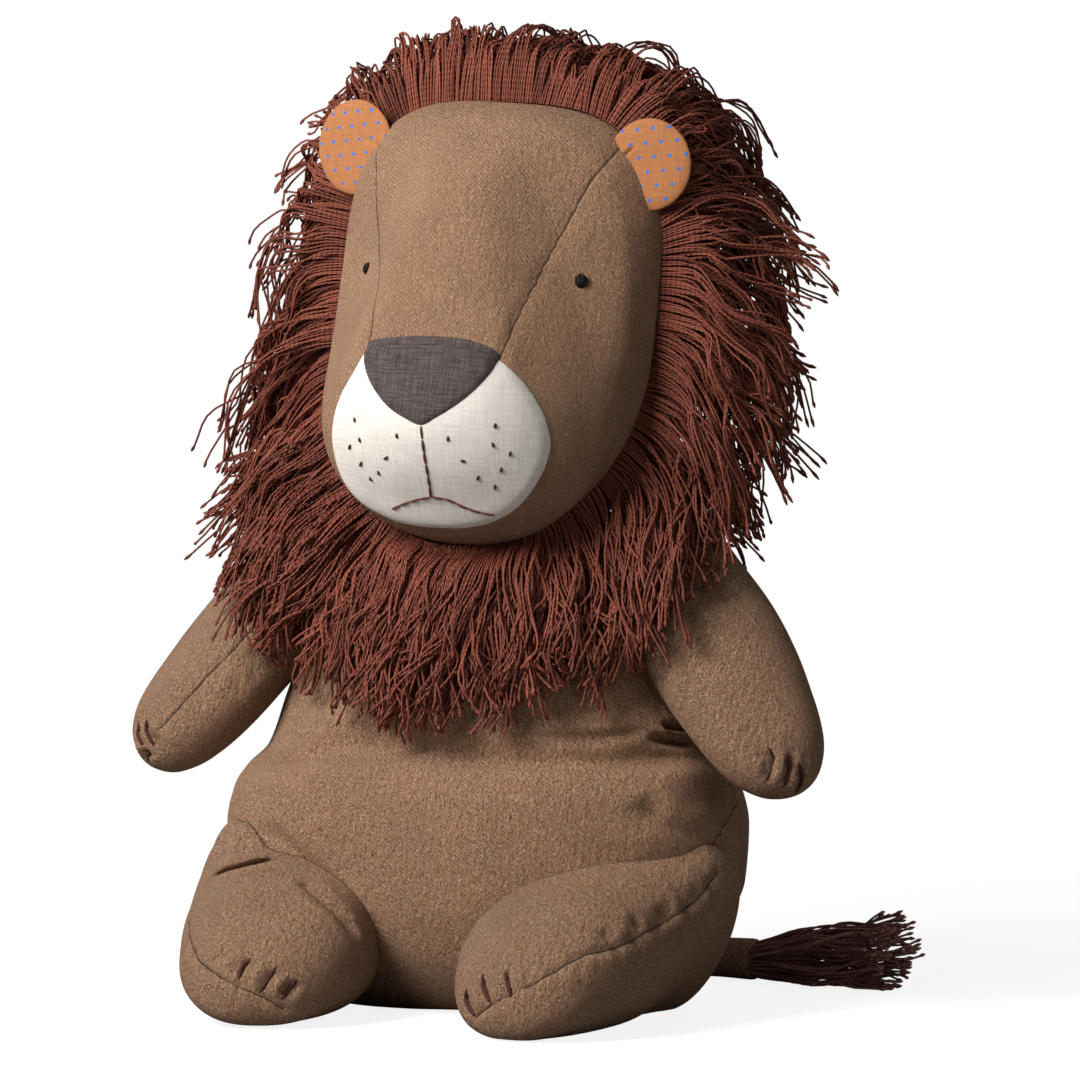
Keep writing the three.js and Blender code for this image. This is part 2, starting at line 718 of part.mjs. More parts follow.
const tailGroup = frameAt(lion, tailRoot, new THREE.Euler(0, 0, 0));
const tailSwept = sweptPast(torso.swingEnvelope, tailRoot, upAxis, tailRange);
const tailCore = tailForm(clothThickness);
const tailFilling = tailForm(clothThickness + seamGap);
addPiece(tailGroup, 'tail_cover', cut(tailForm(0).subtract(tailCore), tailSwept), brownCloth);
addPiece(tailGroup, 'tail_stuffing', cut(tailFilling, tailSwept), wadding);

const tuftRows = [
  { along: 0, radius: tuftRootRadius },
  { along: 0.3, radius: tuftRootRadius + (tuftEndRadius - tuftRootRadius) * 0.4 },
  { along: 0.7, radius: tuftEndRadius },
  { along: 1, radius: tuftEndRadius * 0.85 },
];
const tuftHeading = tailPath.getTangentAt(1).setZ(0).normalize();
const tuftAcross = tuftHeading.clone().cross(upAxis);

function tuftForm() {
  const middleAt = (row) => tailEnd.clone()
    .addScaledVector(tuftHeading, seamGap + tuftLength * row.along)
    .setZ(row.radius + floorClearance);
  const rings = tuftRows.map((row) => ringPoints({
    middle: middleAt(row),
    halfWidth: row.radius,
    halfHeight: row.radius,
    upperPower: 2,
    lowerPower: 2,
    narrowShare: 0,
  }, tuftAcross, upAxis, tailSides));
  return solidOf(loft(middleAt(tuftRows[0]), rings, middleAt(tuftRows[tuftRows.length - 1])));
}

addPiece(tailGroup, 'tail_tuft', cut(tuftForm(), torso.envelope), auburnYarn);

// Mane: the yarn's way from the rim, by angle from the top of the head, as shares of its length.
// The root sits forward of the rim by root and leaves outward by first; bend and tip are out, up and back
// from the root. Over the head the yarn folds back; at the sides it droops.
const maneShares = [
  { angle: 0, root: 0, first: 0.45, bend: [0, 0.29, 0.38], tip: [0, -0.14, 0.54] },
  { angle: 30, root: 0, first: 0.43, bend: [0.18, 0.17, 0.38], tip: [0.21, -0.22, 0.54] },
  { angle: 60, root: 0, first: 0.36, bend: [0.44, -0.11, 0.22], tip: [0.5, -0.42, 0.36] },
  { angle: 90, root: 0, first: 0.36, bend: [0.54, -0.26, 0.12], tip: [0.64, -0.46, 0.2] },
  { angle: 120, root: 0.04, first: 0.34, bend: [0.6, -0.35, 0.03], tip: [0.74, -0.5, 0.02] },
  { angle: 150, root: 0.22, first: 0.3, bend: [0.46, -0.56, -0.2], tip: [0.52, -0.76, -0.26] },
  { angle: 180, root: 0.4, first: 0.3, bend: [0, -0.68, -0.34], tip: [0, -0.92, -0.42] },
];
const lockPitch = 360 / maneLocks;

// A lock's half thickness along its yarn, as shares
const lockBodyShares = [
  { along: 0, half: 0.23 },
  { along: 0.25, half: 0.4 },
  { along: 0.5, half: 0.5 },
  { along: 0.75, half: 0.5 },
  { along: 0.92, half: 0.42 },
  { along: 1, half: 0.22 },
];

function maneRow(angle) {
  const turned = Math.abs(THREE.MathUtils.euclideanModulo(angle + 180, 360) - 180);
  const above = Math.max(1, maneShares.findIndex((row) => row.angle >= turned));
  const low = maneShares[above - 1];
  const high = maneShares[above];
  const blend = (turned - low.angle) / (high.angle - low.angle);
  const mix = (from, to) => yarnLength * THREE.MathUtils.lerp(from, to, blend);
  const side = THREE.MathUtils.euclideanModulo(angle, 360) > 180 ? -1 : 1;
  const point = (key) => new THREE.Vector3(
    side * mix(low[key][0], high[key][0]), mix(low[key][2], high[key][2]), mix(low[key][1], high[key][1]),
  );
  return {
    root: mix(low.root, high.root),
    first: mix(low.first, high.first),
    bend: point('bend'),
    tip: point('tip'),
  };
}

function rimPoint(angle) {
  const top = faceShares[0];
  const side = Math.sin(radians(angle));
  const rise = Math.cos(radians(angle));
  const power = rise > 0 ? top.upper : top.lower;
  const size = (Math.abs(side) ** power + Math.abs(rise) ** power) ** (-1 / power);
  return new THREE.Vector3(rimHalfWidth * side * size, 0, rimHalfHeight * rise * size);
}

function yarnPath(angle) {
  const row = maneRow(angle);
  const outward = new THREE.Vector3(Math.sin(radians(angle)), 0, Math.cos(radians(angle)));
  const root = rimPoint(angle).addScaledVector(depthAxis, lockRoot / 2 - row.root);
  const first = root.clone().addScaledVector(outward, row.first);
  const bend = root.clone().add(row.bend);
  const tip = root.clone().add(row.tip);
  return { outward, curve: new THREE.CubicBezierCurve3(root, first, bend, tip) };
}

// One cross-section of a lock: from inside the tape along the yarn, fullest past its middle
function lockSection(angle) {
  const { outward, curve } = yarnPath(angle);
  const before = yarnPath(angle - lockPitch / 8).curve;
  const after = yarnPath(angle + lockPitch / 8).curve;
  const stations = lockBodyShares.map(({ along, half }) => {
    const across = after.getPoint(along).sub(before.getPoint(along));
    const normal = curve.getTangent(along).cross(across).normalize();
    return { place: curve.getPoint(along), offset: normal.multiplyScalar(lockThickness * half) };
  });
  const inside = {
    place: curve.getPoint(0).addScaledVector(outward, -lockRoot),
    offset: stations[0].offset,
  };
  const line = [inside, ...stations];
  return [
    ...line.map(({ place, offset }) => place.clone().sub(offset)),
    ...line.toReversed().map(({ place, offset }) => place.clone().add(offset)),
  ];
}

const lockNames = {
  0: 'crown',
  30: 'brow_left',
  60: 'temple_left',
  90: 'cheek_left',
  120: 'jaw_left',
  150: 'shoulder_left',
  180: 'bib',
  210: 'shoulder_right',
  240: 'jaw_right',
  270: 'cheek_right',
  300: 'temple_right',
  330: 'brow_right',
};
const gapAngle = THREE.MathUtils.radToDeg(seamGap / rimHalfWidth);

// A lock through its cross-sections, shut at either end by a strip between its front and its back
function lockForm(sections) {
  const points = sections.flat();
  const sides = sections[0].length;
  const last = points.length - sides;
  const faces = [];
  for (let side = 0; side < sides; side += 1) {
    const next = (side + 1) % sides;
    for (let near = 0; near < last; near += sides) {
      faces.push(near + side, near + next, near + sides + side);
      faces.push(near + next, near + sides + next, near + sides + side);
    }
  }
  for (let front = 0; front < sides / 2 - 1; front += 1) {
    const back = sides - 1 - front;
    faces.push(front + 1, front, back, front + 1, back, back - 1);
    faces.push(last + front, last + front + 1, last + back);
    faces.push(last + front + 1, last + back - 1, last + back);
  }
  const geometry = new THREE.BufferGeometry().setFromPoints(points);
  geometry.setIndex(faces);
  if (signedVolume(geometry) < 0) {
    geometry.setIndex(faces.reverse());
  }
  return geometry;
}

for (let lock = 0; lock < maneLocks; lock += 1) {
  const middle = lock * lockPitch;
  const steps = 4;
  const from = middle - lockPitch / 2 + gapAngle;
  const to = middle + lockPitch / 2 - gapAngle;
  const sections = Array.from({ length: steps + 1 }, (unused, step) => (
    lockSection(from + ((to - from) * step) / steps)
  ));
  const solid = placed(solidOf(lockForm(sections)), headGroup.matrixWorld);
  const trimmed = cut(solid, headWithTape, torso.envelope, ...armEnvelopes, ...earEnvelopes);
  addPiece(headGroup, `mane_${lockNames[middle]}`, trimmed, auburnYarn);
}

export default lion;
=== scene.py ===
import math

import bpy
import numpy as np
from mathutils import Matrix, Vector
from mathutils.bvhtree import BVHTree


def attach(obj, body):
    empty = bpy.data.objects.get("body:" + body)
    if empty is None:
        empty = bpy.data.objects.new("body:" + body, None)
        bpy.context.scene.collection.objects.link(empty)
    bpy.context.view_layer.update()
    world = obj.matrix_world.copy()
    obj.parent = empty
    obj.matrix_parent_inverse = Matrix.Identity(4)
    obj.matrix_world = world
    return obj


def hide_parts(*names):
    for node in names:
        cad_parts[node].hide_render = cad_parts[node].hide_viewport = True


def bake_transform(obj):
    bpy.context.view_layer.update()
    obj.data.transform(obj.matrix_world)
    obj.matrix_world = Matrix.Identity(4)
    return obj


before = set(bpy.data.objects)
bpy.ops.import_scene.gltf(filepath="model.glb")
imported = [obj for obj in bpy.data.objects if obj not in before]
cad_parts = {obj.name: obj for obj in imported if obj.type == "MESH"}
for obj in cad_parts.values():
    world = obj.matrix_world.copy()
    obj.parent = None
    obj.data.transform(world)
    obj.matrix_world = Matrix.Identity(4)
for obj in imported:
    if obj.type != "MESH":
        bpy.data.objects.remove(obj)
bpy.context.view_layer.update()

mm = 0.001
scene = bpy.context.scene

# camera: the lion is seen from 20 degrees to its left, a little from above
camera = {
    "azimuth": 20.0, "elevation": 2.75, "distance": 2.0, "target": (0.01172, 0.00426, 0.1538),
    "frameWidth": 0.364, "pictureSize": 1080, "sensor": 36, "clipEnd": 20,
}


def aim(azimuth, elevation):
    # direction out from the lion: 0 degrees is straight in front of it, 90 is to its left
    a, e = math.radians(azimuth), math.radians(elevation)
    return Vector((math.sin(a) * math.cos(e), -math.cos(a) * math.cos(e), math.sin(e)))


def lookAt(obj, place, target):
    obj.location = place
    obj.rotation_euler = (Vector(target) - Vector(place)).to_track_quat("-Z", "Y").to_euler()


cameraPlace = Vector(camera["target"]) + aim(camera["azimuth"], camera["elevation"]) * camera["distance"]
lens = bpy.data.cameras.new("camera")
lens.sensor_width = camera["sensor"]
lens.lens = camera["sensor"] * camera["distance"] / camera["frameWidth"]
lens.clip_end = camera["clipEnd"]
cameraObject = bpy.data.objects.new("camera", lens)
scene.collection.objects.link(cameraObject)
lookAt(cameraObject, cameraPlace, camera["target"])
scene.camera = cameraObject


def photoRay(px, py):
    # line of sight through a point of the picture, in its own pixels
    forward = -aim(camera["azimuth"], camera["elevation"])
    right = forward.cross(Vector((0, 0, 1))).normalized()
    up = right.cross(forward)
    pixel, middle = camera["frameWidth"] / camera["pictureSize"], camera["pictureSize"] / 2
    return forward * camera["distance"] + right * (px - middle) * pixel + up * (middle - py) * pixel


# studio: pale floor, soft key from the upper left, weak fill from the right
studio = {
    "key": {"azimuth": -33, "elevation": 33, "distance": 0.9, "size": 0.45, "watts": 15.4},
    "fill": {"azimuth": 60, "elevation": 10, "distance": 1.6, "size": 1.1, "watts": 3.8},
    "rim": {"azimuth": 165, "elevation": 50, "distance": 1.5, "size": 0.9, "watts": 2.2},
    "aimedAt": (0, 0, 0.16), "room": 0.08,
    # the floor is seen as a pale glow near the lion and fades to plain white farther out
    "floor": {"reach": 6, "color": (0.24, 0.24, 0.24, 1), "roughness": 0.9, "glow": 0.86, "fadeFrom": 0.18,
              "fadeTo": 0.5},
}


def addNode(tree, kind, values=None, **settings):
    node = tree.nodes.new(kind)
    for label, setting in settings.items():
        setattr(node, label, setting)
    for slot, value in (values or {}).items():
        node.inputs[slot].default_value = value
    return node


def addLamp(name, lamp):
    light = bpy.data.lights.new(name, "AREA")
    light.shape = "SQUARE"
    light.size = lamp["size"]
    light.energy = lamp["watts"]
    obj = bpy.data.objects.new(name, light)
    scene.collection.objects.link(obj)
    middle = Vector(studio["aimedAt"])
    lookAt(obj, middle + aim(lamp["azimuth"], lamp["elevation"]) * lamp["distance"], middle)


def lightRoom():
    # dim light from all round, but plain white where the camera looks past the lion
    world = bpy.data.worlds.new("room")
    scene.world = world
    world.use_nodes = True
    tree = world.node_tree
    tree.nodes.clear()
    link = tree.links.new
    dim = addNode(tree, "ShaderNodeBackground", {"Color": (1, 1, 1, 1), "Strength": studio["room"]})
    white = addNode(tree, "ShaderNodeBackground", {"Color": (1, 1, 1, 1), "Strength": 1.0})
    seen = addNode(tree, "ShaderNodeLightPath")
    either = addNode(tree, "ShaderNodeMath", operation="MAXIMUM")
    swap = addNode(tree, "ShaderNodeMixShader")
    link(seen.outputs["Is Camera Ray"], either.inputs[0])
    link(seen.outputs["Is Transmission Ray"], either.inputs[1])
    for slot, shader in enumerate((either, dim, white)):
        link(shader.outputs[0], swap.inputs[slot])
    link(swap.outputs[0], addNode(tree, "ShaderNodeOutputWorld").inputs["Surface"])


def floorPaint():
    paint = bpy.data.materials.new("paleFloor")
    paint.use_nodes = True
    tree, floor = paint.node_tree, studio["floor"]
    link = tree.links.new
    matt = tree.nodes["Principled BSDF"]
    matt.inputs["Base Color"].default_value = floor["color"]
    matt.inputs["Roughness"].default_value = floor["roughness"]
    glow = addNode(tree, "ShaderNodeEmission", {"Strength": floor["glow"]})
    white = addNode(tree, "ShaderNodeEmission")
    near = addNode(tree, "ShaderNodeAddShader")
    reach, pick = addNode(tree, "ShaderNodeMixShader"), addNode(tree, "ShaderNodeMixShader")
    seen, place = addNode(tree, "ShaderNodeLightPath"), addNode(tree, "ShaderNodeTexCoord")
    away = addNode(tree, "ShaderNodeVectorMath", operation="LENGTH")
    fade = addNode(tree, "ShaderNodeMapRange", {"From Min": floor["fadeFrom"], "From Max": floor["fadeTo"]})
    link(place.outputs["Object"], away.inputs[0])
    link(away.outputs["Value"], fade.inputs[0])
    for slot, shader in enumerate((matt, glow)):
        link(shader.outputs[0], near.inputs[slot])
    for slot, shader in enumerate((fade, near, white)):
        link(shader.outputs[0], reach.inputs[slot])
    link(seen.outputs["Is Camera Ray"], pick.inputs[0])
    link(matt.outputs[0], pick.inputs[1])
    link(reach.outputs[0], pick.inputs[2])
    link(pick.outputs[0], tree.nodes["Material Output"].inputs["Surface"])
    return paint


def layFloor():
    reach = studio["floor"]["reach"]
    mesh = bpy.data.meshes.new("studioFloor")
    corners = [(-reach, -reach, 0), (reach, -reach, 0), (reach, reach, 0), (-reach, reach, 0)]
    mesh.from_pydata(corners, [], [(0, 1, 2, 3)])
    mesh.materials.append(floorPaint())
    floor = bpy.data.objects.new("studioFloor", mesh)
    scene.collection.objects.link(floor)


for lampName in ("key", "fill", "rim"):
    addLamp(lampName, studio[lampName])
lightRoom()
scene.view_settings.view_transform = "Standard"
layFloor()
print("studio ready")


# shader groups shared by the cloths and the yarn; each gives a colour and a height
def newGroup(name, inputs):
    tree = bpy.data.node_groups.new(name, "ShaderNodeTree")
    for label, kind, value in inputs:
        tree.interface.new_socket(label, in_out="INPUT",
                                  socket_type="NodeSocket" + kind).default_value = value
    for label, kind in (("Color", "Color"), ("Height", "Float")):
        tree.interface.new_socket(label, in_out="OUTPUT", socket_type="NodeSocket" + kind)
    return tree, tree.nodes.new("NodeGroupInput"), tree.nodes.new("NodeGroupOutput")


def feed(tree, socket, value):
    # a number or a colour is set on the socket, anything else is linked to it
    if isinstance(value, (int, float, tuple)):
        socket.default_value = value
    else:
        tree.links.new(value, socket)


def calculator(tree):
    def calc(operation, a, b=None):
        node = addNode(tree, "ShaderNodeMath", operation=operation)
        for slot, value in enumerate((a, b)):
            if value is not None:
                feed(tree, node.inputs[slot], value)
        return node.outputs[0]
    return calc


def waveOf(calc, turns):
    return calc("SINE", calc("MULTIPLY", turns, 2 * math.pi))


def noiseAt(tree, vector, scale, detail=2.0, rough=0.5):
    node = addNode(tree, "ShaderNodeTexNoise", {"Scale": scale, "Detail": detail, "Roughness": rough})
    tree.links.new(vector, node.inputs["Vector"])
    return node.outputs["Fac"]


def mixColors(tree, factor, a, b, kind="MIX"):
    node = addNode(tree, "ShaderNodeMix", data_type="RGBA", blend_type=kind)
    for slot, value in ((0, factor), (6, a), (7, b)):
        feed(tree, node.inputs[slot], value)
    return node.outputs[2]


def spread(tree, value, low, high, toLow=0.0, toHigh=1.0):
    node = addNode(tree, "ShaderNodeMapRange", {1: low, 2: high, 3: toLow, 4: toHigh})
    tree.links.new(value, node.inputs[0])
    return node.outputs[0]


def greyOf(tree, value):
    node = addNode(tree, "ShaderNodeCombineColor")
    for slot in range(3):
        tree.links.new(value, node.inputs[slot])
    return node.outputs[0]


def attributeOf(tree, label, output="Fac"):
    return addNode(tree, "ShaderNodeAttribute", attribute_name=label).outputs[output]


def splitUV(tree, layer):
    # a UV map, and its two numbers apart
    uv = addNode(tree, "ShaderNodeUVMap", uv_map=layer)
    split = addNode(tree, "ShaderNodeSeparateXYZ")
    tree.links.new(uv.outputs[0], split.inputs[0])
    return uv.outputs[0], split.outputs[0], split.outputs[1]


# brushed twill: slanted ribs, crinkled by washing, with pale and dark fibres; all in millimetres
twill = {
    "slant": 0.72, "sway": 1.6, "crossThread": 0.45, "ribHeight": 0.16, "grainHeight": 1.4,
    "paleFibre": (0.66, 0.5, 0.345, 1), "darkFibre": (0.095, 0.05, 0.028, 1),
    # a sewn seam: a thin dark line in a soft groove
    "seamColor": (0.022, 0.012, 0.009, 1), "seamStrength": 0.85, "seamFrom": 0.14, "seamTo": 0.42,
    "grooveWidth": 0.9, "grooveDepth": 0.7, "nearFrom": 1.0, "nearTo": 1.8,
}


def twillGroup():
    tree, enter, leave = newGroup("brushedTwill", [
        ("Cloth", "Color", (0.3, 0.18, 0.1, 1)), ("Pitch", "Float", 1.3), ("Rib", "Float", 0.5),
        ("Crinkle", "Float", 0.5), ("Fleck", "Float", 0.5)])
    calc, link = calculator(tree), tree.links.new
    pitch, fleck = enter.outputs["Pitch"], enter.outputs["Fleck"]
    _, u, v = splitUV(tree, "cloth")
    place = attributeOf(tree, "rest", "Vector")
    slant = calc("ADD", calc("MULTIPLY", u, twill["slant"]), v)
    sway = calc("MULTIPLY", noiseAt(tree, place, 0.22, 3.0), twill["sway"])
    rib = waveOf(calc, calc("DIVIDE", calc("ADD", slant, sway), pitch))
    across = calc("SUBTRACT", u, calc("MULTIPLY", v, twill["slant"]))
    step = calc("SINE", calc("MULTIPLY", calc("DIVIDE", across, pitch), 3.1 * math.pi))
    ribs = calc("ADD", rib, calc("MULTIPLY", step, twill["crossThread"]))
    worn = spread(tree, noiseAt(tree, place, 0.09, 2.0), 0.38, 0.62, 0.35, 1.0)
    ribs = calc("MULTIPLY", ribs, calc("MULTIPLY", worn, enter.outputs["Rib"]))
    drawn = {"Rotation": (0, 0, math.radians(20)), "Scale": (1.0, 0.45, 1.0)}
    stretch = addNode(tree, "ShaderNodeMapping", drawn)
    link(place, stretch.inputs[0])
    crinkle = calc("SUBTRACT", noiseAt(tree, stretch.outputs[0], 0.55, 4.0, 0.6), 0.5)
    grain = calc("SUBTRACT", noiseAt(tree, place, 1.15, 4.0, 0.75), 0.5)
    crinkles = calc("MULTIPLY", crinkle, enter.outputs["Crinkle"])
    height = calc("ADD", calc("MULTIPLY", ribs, twill["ribHeight"]), crinkles)
    height = calc("ADD", height, calc("MULTIPLY", grain, twill["grainHeight"]))
    # colour: broad and fine changes of tone, then single fibres
    tone = spread(tree, noiseAt(tree, place, 0.05, 2.0), 0.35, 0.65, 0.92, 1.07)
    tone = calc("MULTIPLY", tone, spread(tree, grain, -0.22, 0.22, 0.74, 1.26))
    tone = calc("MULTIPLY", tone, spread(tree, ribs, -0.8, 0.8, 0.84, 1.15))
    pale = spread(tree, noiseAt(tree, place, 1.35, 2.0, 0.8), 0.54, 0.66)
    dark = spread(tree, noiseAt(tree, stretch.outputs[0], 1.9, 2.0, 0.8), 0.53, 0.66)
    color = mixColors(tree, 1.0, enter.outputs["Cloth"], greyOf(tree, tone), "MULTIPLY")
    color = mixColors(tree, calc("MULTIPLY", pale, fleck), color, twill["paleFibre"])
    color = mixColors(tree, calc("MULTIPLY", dark, fleck), color, twill["darkFibre"])
    sideways, near = calc("ABSOLUTE", attributeOf(tree, "seamSide")), attributeOf(tree, "seam")
    line = spread(tree, sideways, twill["seamFrom"], twill["seamTo"], 1.0, 0.0)
    line = calc("MULTIPLY", line, spread(tree, near, twill["nearFrom"], twill["nearTo"], 1.0, 0.0))
    groove = spread(tree, sideways, 0.0, twill["grooveWidth"], 1.0, 0.0)
    deep = spread(tree, near, twill["nearFrom"], twill["nearTo"], twill["grooveDepth"], 0.0)
    groove = calc("MULTIPLY", groove, deep)
    link(mixColors(tree, calc("MULTIPLY", line, twill["seamStrength"]), color, twill["seamColor"]),
         leave.inputs["Color"])
    link(calc("SUBTRACT", height, groove), leave.inputs["Height"])
    return tree


def plainWeaveGroup():
    # plain weave: over and under threads with slubs; UVs in millimetres
    tree, enter, leave = newGroup("plainWeave", [
        ("Cloth", "Color", (0.7, 0.6, 0.5, 1)), ("Pitch", "Float", 0.6), ("Slub", "Float", 0.5),
        ("Dark", "Color", (0.3, 0.2, 0.1, 1))])
    calc, link = calculator(tree), tree.links.new
    uv, u, v = splitUV(tree, "cloth")
    wobble = calc("MULTIPLY", noiseAt(tree, uv, 0.5, 2.0), 0.5)
    warp, weft = (waveOf(calc, calc("DIVIDE", calc("ADD", lane, wobble), enter.outputs["Pitch"]))
                  for lane in (u, v))
    over = calc("MULTIPLY", warp, weft)
    slubs = []
    for scale in ((0.12, 1.7, 1), (1.7, 0.12, 1)):
        drawn = addNode(tree, "ShaderNodeMapping", {"Scale": scale})
        link(uv, drawn.inputs[0])
        slubs.append(noiseAt(tree, drawn.outputs[0], 1.0, 3.0, 0.6))
    slub = calc("ADD", slubs[0], slubs[1])
    mottle = calc("MULTIPLY", spread(tree, slub, 0.8, 1.25), enter.outputs["Slub"])
    gaps = calc("MULTIPLY", spread(tree, over, -1.0, -0.25, 0.35, 0.0), enter.outputs["Slub"])
    color = mixColors(tree, mottle, enter.outputs["Cloth"], enter.outputs["Dark"])
    link(mixColors(tree, gaps, color, enter.outputs["Dark"]), leave.inputs["Color"])
    link(calc("ADD", calc("MULTIPLY", over, 0.3), calc("MULTIPLY", slub, 0.6)), leave.inputs["Height"])
    return tree


def twistGroup():
    # twisted yarn: slanted plies from a UV map of turns round and millimetres along
    tree, enter, leave = newGroup("twistedYarn", [
        ("Thread", "Color", (0.2, 0.07, 0.04, 1)), ("Pitch", "Float", 1.6), ("Plies", "Float", 3.0)])
    calc, link = calculator(tree), tree.links.new
    _, turn, run = splitUV(tree, "thread")
    slant = calc("ADD", calc("MULTIPLY", turn, enter.outputs["Plies"]),
                 calc("DIVIDE", run, enter.outputs["Pitch"]))
    ply = waveOf(calc, slant)
    # each yarn's own tone times a darkening in the grooves between its plies, which is painted shade of the
    # twist
    toneAndPlyShade = calc("MULTIPLY", attributeOf(tree, "tone"), spread(tree, ply, -1.0, 1.0, 0.76, 1.12))
    link(mixColors(tree, 1.0, enter.outputs["Thread"], greyOf(tree, toneAndPlyShade), "MULTIPLY"),
         leave.inputs["Color"])
    link(ply, leave.inputs["Height"])
    return tree


brushedTwill, plainWeave, twistedYarn = twillGroup(), plainWeaveGroup(), twistGroup()
fibre = {"specular": 0.14, "sheenRoughness": 0.45, "sheenTint": (1.0, 0.86, 0.72, 1)}


def newMaterial(name, group, values, bump, relief, roughness, sheen=0.0, specular=fibre["specular"],
                overprint=None):
    material = bpy.data.materials.new(name)
    material.use_nodes = True
    tree = material.node_tree
    link = tree.links.new
    shader = tree.nodes["Principled BSDF"]
    for label, value in (("Roughness", roughness), ("Specular IOR Level", specular), ("Sheen Weight", sheen),
                         ("Sheen Roughness", fibre["sheenRoughness"]), ("Sheen Tint", fibre["sheenTint"])):
        shader.inputs[label].default_value = value
    effect = addNode(tree, "ShaderNodeGroup", values, node_tree=group)
    raised = addNode(tree, "ShaderNodeBump", {"Strength": bump, "Distance": relief})
    color = effect.outputs["Color"]
    link(overprint(tree, color) if overprint else color, shader.inputs["Base Color"])
    link(effect.outputs["Height"], raised.inputs["Height"])
    link(raised.outputs[0], shader.inputs["Normal"])
    return material


def twillCloth(name, color, rib, crinkle, fleck, relief):
    values = {"Cloth": (*color, 1), "Pitch": 1.3, "Rib": rib, "Crinkle": crinkle, "Fleck": fleck}
    return newMaterial(name, brushedTwill, values, bump=1.0, relief=relief, roughness=0.95, sheen=0.06)


def linen(name, color, dark, pitch, slub, bump, relief):
    values = {"Cloth": (*color, 1), "Dark": (*dark, 1), "Pitch": pitch, "Slub": slub}
    return newMaterial(name, plainWeave, values, bump, relief, roughness=0.85)


def yarn(name, color, pitch, bump, roughness):
    values = {"Thread": (*color, 1), "Pitch": pitch, "Plies": 2.0}
    return newMaterial(name, twistedYarn, values, bump, 0.0003, roughness)


# the belly and limb cloths are the head's brown twill set lighter: painted light for the belly, limbs and
# tail, which face the key light less than the face does
bellyClothWithPaintedLight = twillCloth("bellyClothWithPaintedLight", (0.455, 0.24, 0.134), rib=0.85, crinkle=2.6, fleck=0.8, relief=0.0019)
brownCloth = twillCloth("brownCloth", (0.35, 0.19, 0.107), rib=0.9, crinkle=1.5, fleck=0.5, relief=0.0013)
limbClothWithPaintedLight = twillCloth("limbClothWithPaintedLight", (0.39, 0.207, 0.116), rib=0.3, crinkle=2.7, fleck=0.75, relief=0.002)
whiteLinen = linen("whiteLinen", (0.7, 0.645, 0.59), (0.44, 0.4, 0.36), pitch=0.7, slub=0.6, bump=0.5,
                   relief=0.0004)
charcoalLinen = linen("charcoalLinen", (0.03, 0.022, 0.0215), (0.125, 0.098, 0.094),
                      pitch=0.7, slub=0.75, bump=0.5, relief=0.0004)
fringeTape = linen("fringeTape", (0.1, 0.04, 0.03), (0.04, 0.015, 0.012), pitch=0.9, slub=0.5, bump=0.4,
                   relief=0.0003)
auburnYarn = yarn("auburnYarn", (0.178, 0.05, 0.0305), pitch=1.9, bump=0.4, roughness=0.62)
# the tuft's yarn is the mane's yarn set paler: painted light for the lion's shadow it lies in
tuftYarnWithPaintedLight = yarn("tuftYarnWithPaintedLight", (0.33, 0.15, 0.13), pitch=2.2, bump=0.5, roughness=0.62)
darkThread = yarn("darkThread", (0.07, 0.025, 0.018), pitch=1.4, bump=0.5, roughness=0.55)
rustThread = yarn("rustThread", (0.12, 0.036, 0.024), pitch=1.4, bump=0.5, roughness=0.55)
blackThread = yarn("blackThread", (0.012, 0.01, 0.01), pitch=1.4, bump=0.5, roughness=0.5)

# the ears' cotton is printed with a lattice of small blue dots, in millimetres on the ear's own UV map
cotton = {"Cloth": (0.36, 0.14, 0.05, 1), "Dark": (0.2, 0.08, 0.034, 1), "Pitch": 0.6, "Slub": 0.6}
dots = {"pitch": 5.6, "rise": 4.7, "turn": -8, "solid": 0.54, "edge": 0.7, "color": (0.012, 0.125, 0.46, 1)}


def blueDots(tree, ground):
    calc, link = calculator(tree), tree.links.new
    uv = addNode(tree, "ShaderNodeUVMap", uv_map="cloth")
    turned = addNode(tree, "ShaderNodeMapping", {"Rotation": (0, 0, math.radians(dots["turn"]))})
    split = addNode(tree, "ShaderNodeSeparateXYZ")
    link(uv.outputs[0], turned.inputs[0])
    link(turned.outputs[0], split.inputs[0])
    row = calc("DIVIDE", split.outputs[1], dots["rise"])
    shift = calc("MULTIPLY", calc("MODULO", calc("FLOOR", row), 2.0), 0.5)
    column = calc("ADD", calc("DIVIDE", split.outputs[0], dots["pitch"]), shift)
    across = calc("MULTIPLY", calc("SUBTRACT", calc("FRACT", column), 0.5), dots["pitch"])
    up = calc("MULTIPLY", calc("SUBTRACT", calc("FRACT", row), 0.5), dots["rise"])
    away = calc("SQRT", calc("ADD", calc("MULTIPLY", across, across), calc("MULTIPLY", up, up)))
    return mixColors(tree, spread(tree, away, dots["solid"], dots["edge"], 1.0, 0.0), ground, dots["color"])


dottedCotton = newMaterial("dottedCotton", plainWeave, cotton, bump=0.3, relief=0.0003, roughness=0.88,
                           specular=0.25, overprint=blueDots)
print("materials ready")


